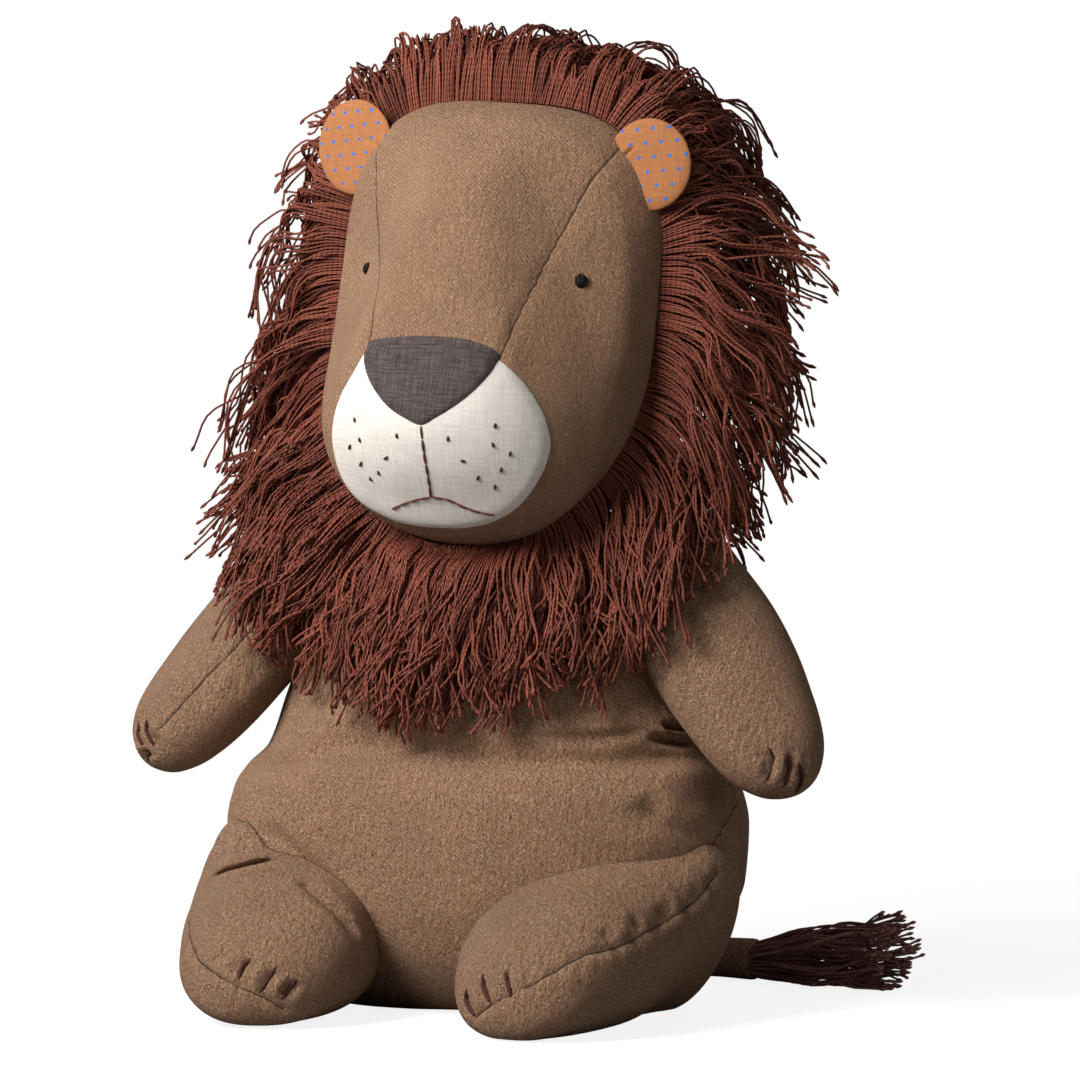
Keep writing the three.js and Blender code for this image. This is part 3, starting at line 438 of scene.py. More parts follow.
# mesh helpers, all in millimetres until the mesh is written
def eased(rows, stations, squared=()):
    # smooth curve through a table whose first column is the place along a form
    # squared columns give round ends
    table = np.asarray(rows, float).copy()
    x, y = table[:, 0], table[:, 1:]
    for column in squared:
        y[:, column] = y[:, column] ** 2
    step = np.diff(x)[:, None]
    secant = np.diff(y, axis=0) / step
    slope = np.zeros_like(y)
    both = secant[:-1] * secant[1:] > 0
    total = np.where(both, secant[:-1] + secant[1:], 1)
    slope[1:-1] = np.where(both, 2 * secant[:-1] * secant[1:] / total, 0)
    slope[0], slope[-1] = secant[0], secant[-1]
    at = np.clip(np.searchsorted(x, stations, side="right") - 1, 0, len(x) - 2)
    span = step[at]
    t = ((stations - x[at])[:, None]) / span
    out = ((2 * t ** 3 - 3 * t ** 2 + 1) * y[at] + (t ** 3 - 2 * t ** 2 + t) * span * slope[at]
           + (3 * t ** 2 - 2 * t ** 3) * y[at + 1] + (t ** 3 - t ** 2) * span * slope[at + 1])
    for column in squared:
        out[:, column] = np.sqrt(np.clip(out[:, column], 0, None))
    return out


def outlineRings(width, height, upper, lower, narrow, sides):
    # rounded outlines with points evenly spaced, starting at the bottom; one row for each ring
    fine = np.linspace(-math.pi / 2, 1.5 * math.pi, 721)[None, :]
    c, s = np.cos(fine), np.sin(fine)
    power = np.where(s > 0, upper[:, None], lower[:, None])
    side = np.sign(c) * np.abs(c) ** (2 / power)
    rise = np.sign(s) * np.abs(s) ** (2 / power)
    x = width[:, None] * side * (1 - narrow[:, None] * rise)
    z = height[:, None] * rise
    length = np.hypot(np.diff(x, axis=1), np.diff(z, axis=1)).cumsum(axis=1)
    length = np.concatenate([np.zeros((len(x), 1)), length], axis=1)
    out = np.zeros((len(x), sides + 1, 2))
    for ring in range(len(x)):
        at = np.linspace(0, max(length[ring, -1], 1e-6), sides + 1)
        out[ring, :, 0] = np.interp(at, length[ring], x[ring])
        out[ring, :, 1] = np.interp(at, length[ring], z[ring])
    return out


def stations(count, low=0.0, high=1.0):
    # closer together near both ends, so that the ends come out round
    t = np.linspace(0, 1, count)
    even = low + (high - low) * t
    bunched = low + (high - low) * (1 - np.cos(math.pi * t)) / 2
    return 0.35 * even + 0.65 * bunched


def newPiece(name, points, faces, uv, material):
    # points in millimetres; uv has one pair for each corner of each face, in turn
    mesh = bpy.data.meshes.new(name)
    mesh.from_pydata((points * mm).tolist(), [], faces)
    layer = mesh.uv_layers.new(name="cloth")
    layer.data.foreach_set("uv", np.array(uv, np.float32).ravel())
    mesh.polygons.foreach_set("use_smooth", [True] * len(mesh.polygons))
    mesh.materials.append(material)
    mesh.update()
    obj = bpy.data.objects.new(name, mesh)
    scene.collection.objects.link(obj)
    return obj


def meshFromGrid(name, grid, uv, material):
    # grid: rings x (sides + 1) x 3, closed round and at both ends
    rings, sides = grid.shape[0], grid.shape[1] - 1
    body = grid[1:-1, :sides].reshape(-1, 3)
    verts = np.concatenate([grid[0, :sides].mean(0)[None], body, grid[-1, :sides].mean(0)[None]])
    last = len(verts) - 1
    index = lambda ring, side: 1 + (ring - 1) * sides + side % sides
    faces, corners = [], []
    for side in range(sides):
        faces.append((0, index(1, side + 1), index(1, side)))
        corners.append(((0, side), (1, side + 1), (1, side)))
        faces.append((last, index(rings - 2, side), index(rings - 2, side + 1)))
        corners.append(((rings - 1, side), (rings - 2, side), (rings - 2, side + 1)))
    for ring in range(1, rings - 2):
        for side in range(sides):
            faces.append((index(ring, side), index(ring, side + 1), index(ring + 1, side + 1),
                          index(ring + 1, side)))
            corners.append(((ring, side), (ring, side + 1), (ring + 1, side + 1), (ring + 1, side)))
    obj = newPiece(name, verts, faces, [uv[r, s] for corner in corners for r, s in corner], material)
    outward(obj)
    keepRest(obj)
    return obj


def keepRest(obj):
    # each point's first place in millimetres, height second, for the cloth's grain
    layer = obj.data.attributes.new("rest", "FLOAT_VECTOR", "POINT")
    layer.data.foreach_set("vector", pointsOf(obj)[:, (0, 2, 1)].astype(np.float32).ravel())


def outward(obj):
    # turn all faces out, if the form came out inside out
    mesh = obj.data
    co = pointsOf(obj)
    volume = 0.0
    for face in mesh.polygons:
        a, b, c = (co[v] for v in face.vertices[:3])
        volume += float(np.dot(a, np.cross(b, c)))
        if len(face.vertices) == 4:
            d = co[face.vertices[3]]
            volume += float(np.dot(a, np.cross(c, d)))
    if volume < 0:
        mesh.flip_normals()
    mesh.update()


def pointsOf(obj):
    co = np.empty(len(obj.data.vertices) * 3, np.float32)
    obj.data.vertices.foreach_get("co", co)
    return co.reshape(-1, 3).astype(float) / mm


def normalsOf(obj):
    n = np.empty(len(obj.data.vertices) * 3, np.float32)
    obj.data.vertices.foreach_get("normal", n)
    return n.reshape(-1, 3).astype(float)


def setPoints(obj, points):
    obj.data.vertices.foreach_set("co", (points * mm).astype(np.float32).ravel())
    obj.data.update()


def treeOf(obj):
    mesh = obj.data
    return BVHTree.FromPolygons([v.co.copy() for v in mesh.vertices],
                                [tuple(p.vertices) for p in mesh.polygons])


def onSurface(tree, pixels):
    # points and normals where the picture's lines of sight meet a piece, in millimetres
    found = []
    for px, py in pixels:
        place, normal, _, _ = tree.ray_cast(cameraPlace, photoRay(px, py).normalized())
        if place is not None:
            found.append((np.array(place) / mm, np.array(normal)))
    return found


def meanNormal(hits):
    mean = np.mean([n for _, n in hits], axis=0)
    return mean / np.linalg.norm(mean)


def runOf(path):
    # distance travelled at each point of a path
    return np.concatenate([[0], np.linalg.norm(np.diff(path, axis=0), axis=1).cumsum()])


def interpolate(x, known, rows):
    return np.stack([np.interp(x, known, column) for column in rows.T], axis=1)


def along(points, spacing=1.0):
    # a smooth path through points, evenly spaced
    p = np.asarray(points, float)
    if len(p) > 2:
        at = runOf(p)
        fine = np.linspace(0, at[-1], max(8, int(at[-1] / spacing) * 3))
        p = eased(np.concatenate([at[:, None], p], axis=1), fine)
    at = runOf(p)
    return interpolate(np.linspace(0, at[-1], max(2, int(at[-1] / spacing) + 1)), at, p)


def evenly(path, count):
    return interpolate(np.linspace(0, len(path) - 1, count), np.arange(len(path)), path)


def lineOn(tree, pixels, spacing=1.0):
    # a smooth line on a piece, through points of the picture
    return along([p for p, _ in onSurface(tree, pixels)], spacing)


def pathDistance(points, path):
    # nearest distance to a path and the share along it
    best = np.full(len(points), 1e9)
    share = np.zeros(len(points))
    for k in range(len(path) - 1):
        a, b = path[k], path[k + 1]
        d = b - a
        t = np.clip(((points - a) @ d) / max(float(d @ d), 1e-9), 0, 1)
        away = np.linalg.norm(points - (a + t[:, None] * d), axis=1)
        closer = away < best
        best[closer] = away[closer]
        share[closer] = (k + t[closer]) / (len(path) - 1)
    return best, share


def foldProfile(away, fold):
    # "sharp" runs from a soft hollow at 2 to a crease at 1
    width, depth = fold["width"], fold["depth"]
    return (-depth * np.exp(-(away / width) ** fold.get("sharp", 1.5))
            + fold.get("lift", 0.3) * depth * np.exp(-((away - 2.1 * width) / (1.1 * width)) ** 2))


def pressFold(obj, fold):
    # a crease in the cloth along a line of the picture: sunk in the middle, lifted beside it
    hits = onSurface(treeOf(obj), fold["pixels"])
    if len(hits) < 2:
        return
    path = along([p for p, _ in hits], 2.0)
    points, normals = pointsOf(obj), normalsOf(obj)
    away, share = pathDistance(points, path)
    ends = np.clip(np.minimum(share, 1 - share) / max(fold.get("fade", 0.25), 1e-3), 0, 1)
    ends = ends * ends * (3 - 2 * ends)
    # "into" turns a crease on a face that lies flat to the picture from straight down to straight back
    back = path.mean(0) - np.array(cameraPlace) / mm
    into = fold.get("into", 0)
    outwards = normals * (1 - into) - back / np.linalg.norm(back) * into
    setPoints(obj, points + outwards * (foldProfile(away, fold) * ends)[:, None])


def lumpy(obj, size, amount, seed):
    # slow swellings of the stuffing
    rng = np.random.default_rng(seed)
    points = pointsOf(obj)
    total = np.zeros(len(points))
    for _ in range(10):
        direction = rng.normal(size=3)
        direction /= np.linalg.norm(direction)
        total += np.sin(points @ direction * (2 * math.pi / (size * rng.uniform(0.7, 1.5)))
                        + rng.uniform(0, 6.28))
    setPoints(obj, points + normalsOf(obj) * (total / 3.2 * amount)[:, None])


farFromSeam = 50.0  # for a point with no seam near it


def writeValues(mesh, label, values):
    # one number for each point, for the material or node that reads this name
    layer = mesh.attributes.get(label) or mesh.attributes.new(label, "FLOAT", "POINT")
    layer.data.foreach_set("value", np.ascontiguousarray(values, np.float32).ravel())


def markSeams(obj, paths):
    # distance to the nearest sewn line, and the same with a sign for its two sides, for the cloth's shader
    points, normals = pointsOf(obj), normalsOf(obj)
    nearest, signed = np.full(len(points), farFromSeam), np.full(len(points), farFromSeam)
    for path in paths:
        away, share = pathDistance(points, path)
        at = share * (len(path) - 1)
        foot, ahead = (interpolate(at, np.arange(len(path)), line)
                       for line in (path, np.gradient(path, axis=0)))
        which = np.sign(np.einsum("ij,ij->i", points - foot, np.cross(ahead, normals)))
        closer = away < nearest
        nearest[closer] = away[closer]
        signed[closer] = (away * np.where(which == 0, 1, which))[closer]
    writeValues(obj.data, "seam", nearest)
    writeValues(obj.data, "seamSide", signed)
    return nearest


def joinSeamAndPaintedShade(obj, other, reach=4):
    # the sewn line where one form leaves another, drawn dark: a real seam, and painted shade of the crease
    # where the forms meet
    tree = treeOf(other)
    own = [Vector(n) for n in normalsOf(obj)]
    away = np.full(len(obj.data.vertices), farFromSeam)
    for k, p in enumerate(pointsOf(obj)):
        hit, normal, _, distance = tree.find_nearest(Vector(p) * mm, reach * mm)
        if hit is not None and normal.dot(own[k]) < 0.9:
            away[k] = distance / mm * (1 if (Vector(p) * mm - hit).dot(normal) > 0 else -1)
    for label, values in (("seam", np.abs(away)), ("seamSide", away)):
        old = np.empty(len(away), np.float32)
        obj.data.attributes[label].data.foreach_get("value", old)
        writeValues(obj.data, label, np.where(np.abs(away) < np.abs(old), values, old))


def puckers(obj, seam, spacing, reach, depth, seed, width=2.0):
    # short crosswise wrinkles where a seam draws the cloth together
    rng = np.random.default_rng(seed)
    if len(seam) < 6:
        return
    points, normals = pointsOf(obj), normalsOf(obj)
    near, share = pathDistance(points, seam)
    close = np.where(near < reach * 1.6)[0]
    total = np.linalg.norm(np.diff(seam, axis=0), axis=1).sum()
    runAlong = share[close] * total
    move = np.zeros(len(close))
    at = spacing * 0.5
    while at < total:
        size = reach * rng.uniform(0.4, 1.2)
        lean = rng.uniform(-0.5, 0.5)
        off = runAlong - at - lean * near[close]
        deep = depth * rng.uniform(0.4, 1.2)
        hump = 1 - np.clip(near[close] / size, 0, 1) ** 2
        wide = width * rng.uniform(0.7, 1.4)
        move += hump * deep * (0.5 * np.exp(-((np.abs(off) - 2 * wide) / wide) ** 2)
                               - np.exp(-(off / wide) ** 2))
        at += spacing * rng.uniform(0.6, 1.5)
    points[close] += normals[close] * move[:, None]
    setPoints(obj, points)


def sewUp(cover, lines, spec):
    # the cloth dips towards its sewn lines, and wrinkles where the thread draws it together
    nearest = markSeams(cover, lines)
    dip = spec["seam"]["depth"] * np.exp(-(nearest / spec["seam"]["width"]) ** 2)
    setPoints(cover, pointsOf(cover) - normalsOf(cover) * dip[:, None])
    if "puckers" in spec:
        for k, line in enumerate(lines):
            puckers(cover, line, **{**spec["puckers"], "seed": spec["puckers"]["seed"] + k})


def flatUV(obj, place, upper, under=None, down=(0, 0, -1), limit=0.6, apart=31.0):
    # cloth cut flat: the weave runs straight over each panel, and the under panel is cut a little way apart
    inverse = np.array(place.inverted())
    local = turnedBy(pointsOf(obj), inverse)
    mesh = obj.data
    corner = np.empty(len(mesh.loops), np.int32)
    mesh.loops.foreach_get("vertex_index", corner)
    normal = np.empty(len(mesh.polygons) * 3, np.float32)
    mesh.polygons.foreach_get("normal", normal)
    normal = normal.reshape(-1, 3) @ inverse[:3, :3].T
    total = np.empty(len(mesh.polygons), np.int32)
    mesh.polygons.foreach_get("loop_total", total)
    values = local[corner] @ np.array(upper, float).T
    if under is not None:
        below = np.repeat(normal @ np.array(down, float) > limit, total)
        values[below] = (local[corner] @ np.array(under, float).T)[below] + apart
    mesh.uv_layers["cloth"].data.foreach_set("uv", values.astype(np.float32).ravel())


def surfaceUV(grid, middle):
    # millimetres round each ring from a middle column, and millimetres along the form
    steps = np.linalg.norm(np.diff(grid, axis=1), axis=2).cumsum(axis=1)
    around = np.concatenate([np.zeros((len(grid), 1)), steps], axis=1)
    around -= around[:, middle:middle + 1]
    if middle == 0:
        half = grid.shape[1] // 2
        around[:, half + 1:] -= around[:, -1:]
    down = runOf(grid[:, middle])
    return np.stack([around, np.repeat(down[:, None], grid.shape[1], axis=1)], axis=2)


def turnedBy(points, matrix):
    m = np.array(matrix)
    return points @ m[:3, :3].T + m[:3, 3]


# torso: rows of height, half width, half depth, forward shift and squareness
torso = {
    "rows": [
        (0, 54, 40, 7, 2.0), (1.5, 60, 46, 8, 2.1), (9, 67, 52.5, 9.5, 2.2), (22, 76, 57, 11.5, 2.4),
        (41, 86, 59.5, 13, 2.6), (60, 87.5, 60, 13.5, 2.6), (72, 85.5, 59.5, 13.5, 2.5),
        (79, 82, 57, 12.5, 2.4), (85, 78, 52, 8.5, 2.25), (99, 74, 48.5, 7, 2.1), (118, 66, 44, 8, 2.1),
        (133, 58, 37, 9, 2.05), (145, 43, 30, 10, 2.0), (152, 31, 27, 10, 2.0), (157, 26, 25, 10, 2.0),
        (161, 21, 20, 10, 2.0),
    ],
    "rings": 230, "sides": 320, "swelling": {"size": 75, "amount": 0.9, "seed": 3},
    "seam": {"width": 1.8, "depth": 0.7},
    "puckers": {"spacing": 13.0, "reach": 8.0, "depth": 0.45, "seed": 31},
    # the same sewn line runs up both sides, a little behind the middle; it shows above the leg in the picture
    "sideSeam": {"low": 4, "high": 150, "points": 60, "lean": 0.18, "straighter": 0.1},
    "seenSeam": [(743, 784), (739, 802), (728, 822), (716, 842), (708, 858)],
    "folds": [
        {"pixels": [(262, 775), (296, 756), (326, 745), (391, 742), (486, 755), (572, 760), (659, 755),
                    (700, 750)],
         "width": 4.5, "depth": 3.4, "lift": 0.35, "fade": 0.14},
        {"pixels": [(516, 732), (555, 736), (594, 737), (630, 732), (662, 725)], "width": 2.0, "depth": 2.6,
         "fade": 0.35},
        {"pixels": [(645, 735), (668, 741), (694, 743)], "width": 1.5, "depth": 3.6, "fade": 0.3},
        {"pixels": [(660, 723), (675, 727), (690, 728)], "width": 1.3, "depth": 3.0, "fade": 0.3},
        {"pixels": [(634, 794), (641, 804), (654, 811), (672, 817)], "width": 5.4, "depth": 1.8, "sharp": 2,
         "fade": 0.5},
        {"pixels": [(640, 808), (665, 822), (690, 832), (715, 843)], "width": 3.4, "depth": 1.8,
         "fade": 0.45},
        {"pixels": [(664, 796), (690, 800), (716, 806)], "width": 4.0, "depth": 0.8, "sharp": 2, "fade": 0.5},
        {"pixels": [(222, 812), (250, 822), (282, 842), (311, 868), (340, 900), (368, 935)], "width": 3.0,
         "depth": 1.6, "fade": 0.2},
        {"pixels": [(300, 790), (330, 782), (365, 778)], "width": 3.0, "depth": 0.9, "fade": 0.5},
        {"pixels": [(280, 752), (300, 768), (318, 776)], "width": 2.0, "depth": 0.9, "fade": 0.5},
    ],
}


def ringForm(name, spec, axis, material, place=None):
    # a closed form through outlines; axis "up" runs the rows along +Z, "front" along -Y, "down" along -Z
    rows = np.asarray(spec["rows"], float)
    at = stations(spec["rings"], rows[0, 0], rows[-1, 0])
    table = eased(rows, at, squared=(0, 1))
    upper = table[:, 3]
    narrow = table[:, 4] if table.shape[1] > 4 else np.zeros(len(at))
    lower = table[:, 5] if table.shape[1] > 5 else upper
    outline = outlineRings(table[:, 0], table[:, 1], upper, lower, narrow, spec["sides"])
    across, rise, shift = outline[:, :, 0], outline[:, :, 1], table[:, 2][:, None]
    run = np.repeat(at[:, None], outline.shape[1], axis=1)
    columns = {"up": (across, rise - shift, run), "front": (across, -run, rise + shift),
               "down": (across, rise + shift, -run)}
    grid = np.stack(columns[axis], axis=2)
    if place is not None:
        grid = turnedBy(grid.reshape(-1, 3), place).reshape(grid.shape)
    return meshFromGrid(name, grid, surfaceUV(grid, 0), material)


def sideSeam(tree, side):
    spec, points = torso["sideSeam"], []
    for z in np.linspace(spec["low"], spec["high"], spec["points"]):
        w = eased(torso["rows"], np.array([z]), squared=(0, 1))[0]
        lean = spec["lean"] - spec["straighter"] * z / spec["high"]
        point = Vector((side * w[0] * math.cos(lean), -w[2] + w[1] * math.sin(lean), z))
        points.append(np.array(tree.find_nearest(point * mm)[0]) / mm)
    return np.array(points)


torsoCover = ringForm("torsoCover", torso, "up", bellyClothWithPaintedLight)
lumpy(torsoCover, **torso["swelling"])
torsoLines = [lineOn(treeOf(torsoCover), torso["seenSeam"])]
for fold in torso["folds"]:
    pressFold(torsoCover, fold)
creasedTorso = treeOf(torsoCover)
sewUp(torsoCover, [sideSeam(creasedTorso, 1), sideSeam(creasedTorso, -1)] + torsoLines, torso)
print("torso ready")


# head: rows of depth in front of the rim seam, then half width, half height, middle height, upper squareness,
# narrowing towards the top and lower squareness
head = {
    "rows": [
        (-44, 0, 0, -6, 2.2, 0, 2.0), (-39.6, 27, 38.5, -5.5, 2.2, 0, 2.0), (-29, 46, 62, -4, 2.6, 0, 2.0),
        (-14.5, 55.2, 71.6, -0.6, 3.0, -0.02, 2.0), (0, 58, 74, 0, 3.2, -0.03, 2.0),
        (15, 55.1, 72, -2, 3.4, 0.1, 2.0), (29.4, 45.5, 65.5, -6.7, 3.3, 0.5, 2.05),
        (38.4, 40, 58.5, -10.4, 3.1, 0.55, 2.1), (45.1, 36, 50.3, -14.8, 2.8, 0.5, 2.15),
        (51.2, 32.5, 37, -20.7, 2.6, 0.3, 2.2), (56.3, 26.7, 24.4, -26.6, 2.4, 0.12, 2.2),
        (61.4, 15.7, 11.8, -30.3, 2.1, 0, 2.0), (64, 0, 0, -31, 2.0, 0, 2.0),
    ],
    "rings": 170, "sides": 208,
    "swelling": {"size": 60, "amount": 0.5, "seed": 8}, "seam": {"width": 2.2, "depth": 0.55},
    "place": (4.27, -12, 227), "turn": -6, "tilt": 3.5,
    "seams": [
        [(622, 146), (608, 161), (592, 180), (570, 219), (540, 276), (518, 319), (499, 360)],
        [(378, 146), (376, 165), (376, 193), (377, 240), (375, 290), (371, 330), (367, 350)],
    ],
    # the weave's two directions on each panel, cut flat so that the twill doesn't turn round the nose
    "panels": {"back": ((1, 0, 0), (0, 0.25, 0.97)), "forehead": ((1, 0, 0), (0, 0.56, 0.83)),
               "leftCheek": ((0.62, 0.78, 0.1), (0.0, 0.1, 0.99)),
               "rightCheek": ((0.62, -0.78, -0.1), (0.0, 0.1, 0.99))},
    "backFrom": -2,
}
headPlace = (Matrix.Translation(Vector(head["place"])) @ Matrix.Rotation(math.radians(head["turn"]), 4, "Z")
             @ Matrix.Rotation(math.radians(head["tilt"]), 4, "Y"))
headCover = ringForm("headCover", head, "front", brownCloth, headPlace)
headTree = treeOf(headCover)


def clothPanels(obj, place, seams):
    inverse = np.array(place.inverted())
    local = turnedBy(pointsOf(obj), inverse)
    mesh = obj.data
    edges = sorted((turnedBy(seam, inverse) for seam in seams), key=lambda s: s[:, 0].mean())
    rightEdge, leftEdge = (edge[np.argsort(edge[:, 2])] for edge in edges)
    values = np.zeros((len(mesh.loops), 2), np.float32)
    for part in mesh.polygons:
        x, y, z = local[list(part.vertices)].mean(0)
        if y > head["backFrom"]:
            panel = "back"
        elif x > np.interp(z, leftEdge[:, 2], leftEdge[:, 0]):
            panel = "leftCheek"
        elif x < np.interp(z, rightEdge[:, 2], rightEdge[:, 0]):
            panel = "rightCheek"
        else:
            panel = "forehead"
        weave = np.array(head["panels"][panel])
        for loop in part.loop_indices:
            values[loop] = weave @ local[mesh.loops[loop].vertex_index]
    mesh.uv_layers["cloth"].data.foreach_set("uv", values.ravel())


gussetLines = [lineOn(headTree, line) for line in head["seams"]]
clothPanels(headCover, headPlace, gussetLines)
lumpy(headCover, **head["swelling"])
sewUp(headCover, gussetLines, head)
headTree = treeOf(headCover)
print("head ready")


def sheetMesh(name, points, uv, sides, material, facing):
    # rings of points round one centre point
    faces = [(0, 1 + (side + 1) % sides, 1 + side) for side in range(sides)]
    for start in range(1, len(points) - sides, sides):
        for side in range(sides):
            a, b = start + side, start + (side + 1) % sides
            faces.append((a, b, b + sides, a + sides))
    obj = newPiece(name, points, faces, [uv[v] for part in faces for v in part], material)
    if float((normalsOf(obj) @ np.array(facing)).mean()) < 0:
        obj.data.flip_normals()
    keepRest(obj)
    return obj


def lay(trees, place, x, z, lift):
    # a point of the head's front view, laid on the foremost cloth there and lifted off it
    start = place @ Vector((x, -110, z))
    direction = (place.to_3x3() @ Vector((0, 1, 0))).normalized()
    hits = [tree.ray_cast(start * mm, direction) for tree in trees]
    hit, normal, _, _ = min((h for h in hits if h[0] is not None), key=lambda h: h[3])
    return np.array(hit) / mm + np.array(normal) * lift


def patchOn(name, trees, spec, material):
    # a sewn patch: follows the cloth under it, full to a rolled edge that dips into that cloth
    sides = spec["sides"]
    edge = lineOn(headTree, spec["outline"], 0.7)
    edge = edge[np.linspace(0, len(edge) - 1, sides + 1).astype(int)]
    local = turnedBy(edge, headPlace.inverted())[:, (0, 2)]
    middle = local[:-1].mean(0)
    radius = float(np.linalg.norm(local - middle, axis=1).mean())
    verts, uv = [], []
    for ring, share in enumerate(1 - (1 - np.linspace(0, 1, spec["rings"])) ** 1.5):
        for side in range(sides if ring else 1):
            x, z = middle + (local[side] - middle) * share
            rise = spec["lift"] * min(1.0, math.sqrt(max((1 - share) * radius, 0) / spec["hem"]))
            verts.append(lay(trees, headPlace, x, z, rise if share < 1 else -0.25))
            uv.append((x, z * 1.05))
    return sheetMesh(name, np.array(verts), uv, sides, material, headPlace.to_3x3() @ Vector((0, -1, 0)))


# the face, all placed by the picture: patch outlines, whiskers with their angle, lines of the mouth, eyes
face = {
    "muzzle": {
        "lift": 1.1, "hem": 2.2, "rings": 56, "sides": 200,
        "outline": [(367, 350), (354, 372), (341, 396), (334, 420), (333, 442), (337, 463), (347, 485),
                    (362, 502), (381, 514), (403, 523), (430, 527), (456, 528), (482, 525), (505, 516),
                    (523, 502), (537, 483), (547, 462), (551, 443), (546, 420), (535, 398), (519, 377),
                    (499, 360), (470, 350), (430, 346), (395, 346), (367, 350)],
    },
    "nose": {
        "lift": 1.0, "hem": 2.0, "rings": 40, "sides": 150,
        "outline": [(366, 352), (368, 343), (378, 339), (400, 336.5), (430, 336), (458, 338), (482, 344),
                    (496, 351), (500, 357), (497, 366), (488, 378), (474, 392), (456, 406), (438, 417),
                    (422, 425), (406, 418), (391, 408), (379, 394), (370, 378), (366, 363), (366, 352)],
    },
    "whiskers": [(355, 420, 80), (360, 440, 78), (350, 447, 110), (361, 464, 120), (379, 473, 60),
                 (371, 479, 50), (397, 436, 80), (386, 458, 150), (495, 426, 100), (493, 445, 70),
                 (510, 454, 100), (501, 470, 100), (495, 487, 100), (478, 478, 110), (463, 461, 15),
                 (448, 439, 95)],
    "mouth": [[(421, 426), (423, 445), (426, 465), (429, 482), (431, 497)],
              [(431, 497), (420, 499), (406, 503), (392, 509)],
              [(431, 497), (446, 499), (462, 506), (479, 512), (495, 515)]],
    "mouthStitch": {"width": 0.9, "pitch": 4.8, "sink": 0.12, "gap": 0.02},
    "whiskerStitch": {"width": 1.0, "pitch": 9.0, "sink": 0.2, "gap": 0.12}, "whiskerReach": 2.6,
    "eyes": {"Right": {"pixel": (367.5, 268.5), "wide": 2.2, "tall": 4.0, "lean": 0.2, "stitches": 5},
             "Left": {"pixel": (581, 281), "wide": 4.0, "tall": 4.5, "lean": 0.1, "stitches": 8}},
}
muzzlePatch = patchOn("muzzlePatch", [headTree], face["muzzle"], whiteLinen)
muzzleTree = treeOf(muzzlePatch)
nosePatch = patchOn("nosePatch", [muzzleTree, headTree], face["nose"], charcoalLinen)
print("patches ready")


# threads: guide lines become round threads by geometry nodes, with the plies in a UV map
def threadNodes():
    tree = bpy.data.node_groups.new("roundThreads", "GeometryNodeTree")
    tree.interface.new_socket("Lines", in_out="INPUT", socket_type="NodeSocketGeometry")
    inputs = {}
    for label, kind, value in (("Thickness", "NodeSocketFloat", 0.8), ("Sides", "NodeSocketInt", 5),
                               ("Finish", "NodeSocketMaterial", None)):
        socket = tree.interface.new_socket(label, in_out="INPUT", socket_type=kind)
        if value is not None:
            socket.default_value = value
        inputs[label] = socket.identifier
    tree.interface.new_socket("Threads", in_out="OUTPUT", socket_type="NodeSocketGeometry")
    new, link = tree.nodes.new, tree.links.new
    enter, leave = new("NodeGroupInput"), new("NodeGroupOutput")
    line = new("GeometryNodeMeshToCurve")
    half = addNode(tree, "ShaderNodeMath", operation="MULTIPLY")
    half.inputs[1].default_value = 0.5 * mm
    profile = new("GeometryNodeCurvePrimitiveCircle")
    girth = new("GeometryNodeInputNamedAttribute")
    girth.inputs["Name"].default_value = "girth"
    skin = new("GeometryNodeCurveToMesh")
    skin.inputs["Fill Caps"].default_value = True
    real, paint = new("GeometryNodeRealizeInstances"), new("GeometryNodeSetMaterial")
    link(enter.outputs["Lines"], line.inputs["Mesh"])
    link(enter.outputs["Thickness"], half.inputs[0])
    link(half.outputs[0], profile.inputs["Radius"])
    link(enter.outputs["Sides"], profile.inputs["Resolution"])
    link(line.outputs[0], skin.inputs["Curve"])
    link(profile.outputs["Curve"], skin.inputs["Profile Curve"])
    link(girth.outputs["Attribute"], skin.inputs["Scale"])
    link(skin.outputs[0], real.inputs[0])
    link(real.outputs[0], paint.inputs["Geometry"])
    link(enter.outputs["Finish"], paint.inputs["Material"])
    link(paint.outputs[0], leave.inputs[0])
    return tree, inputs


roundThreads, threadInputs = threadNodes()


def plyUV(obj, count, steps, sides):
    # turns round each thread and millimetres along it
    mesh = obj.data
    ring = pointsOf(obj).reshape(count, steps, sides, 3).mean(2)
    length = np.linalg.norm(np.diff(ring, axis=1), axis=2).cumsum(axis=1)
    runs = np.repeat(np.concatenate([np.zeros((count, 1)), length], axis=1)[:, :, None], sides,
                     axis=2).ravel()
    corner = np.empty(len(mesh.loops), np.int32)
    mesh.loops.foreach_get("vertex_index", corner)
    first, total = np.empty(len(mesh.polygons), np.int32), np.empty(len(mesh.polygons), np.int32)
    mesh.polygons.foreach_get("loop_start", first)
    mesh.polygons.foreach_get("loop_total", total)
    turn = (corner % sides) / sides
    quads = first[total == 4][:, None] + np.arange(4)
    around = turn[quads]
    wraps = (around.max(1) - around.min(1)) > 0.5
    around[wraps] = np.where(around[wraps] < 0.5, around[wraps] + 1, around[wraps])
    turn[quads] = around
    layer = mesh.uv_layers.new(name="thread")
    layer.data.foreach_set("uv", np.stack([turn, runs[corner]], axis=1).astype(np.float32).ravel())


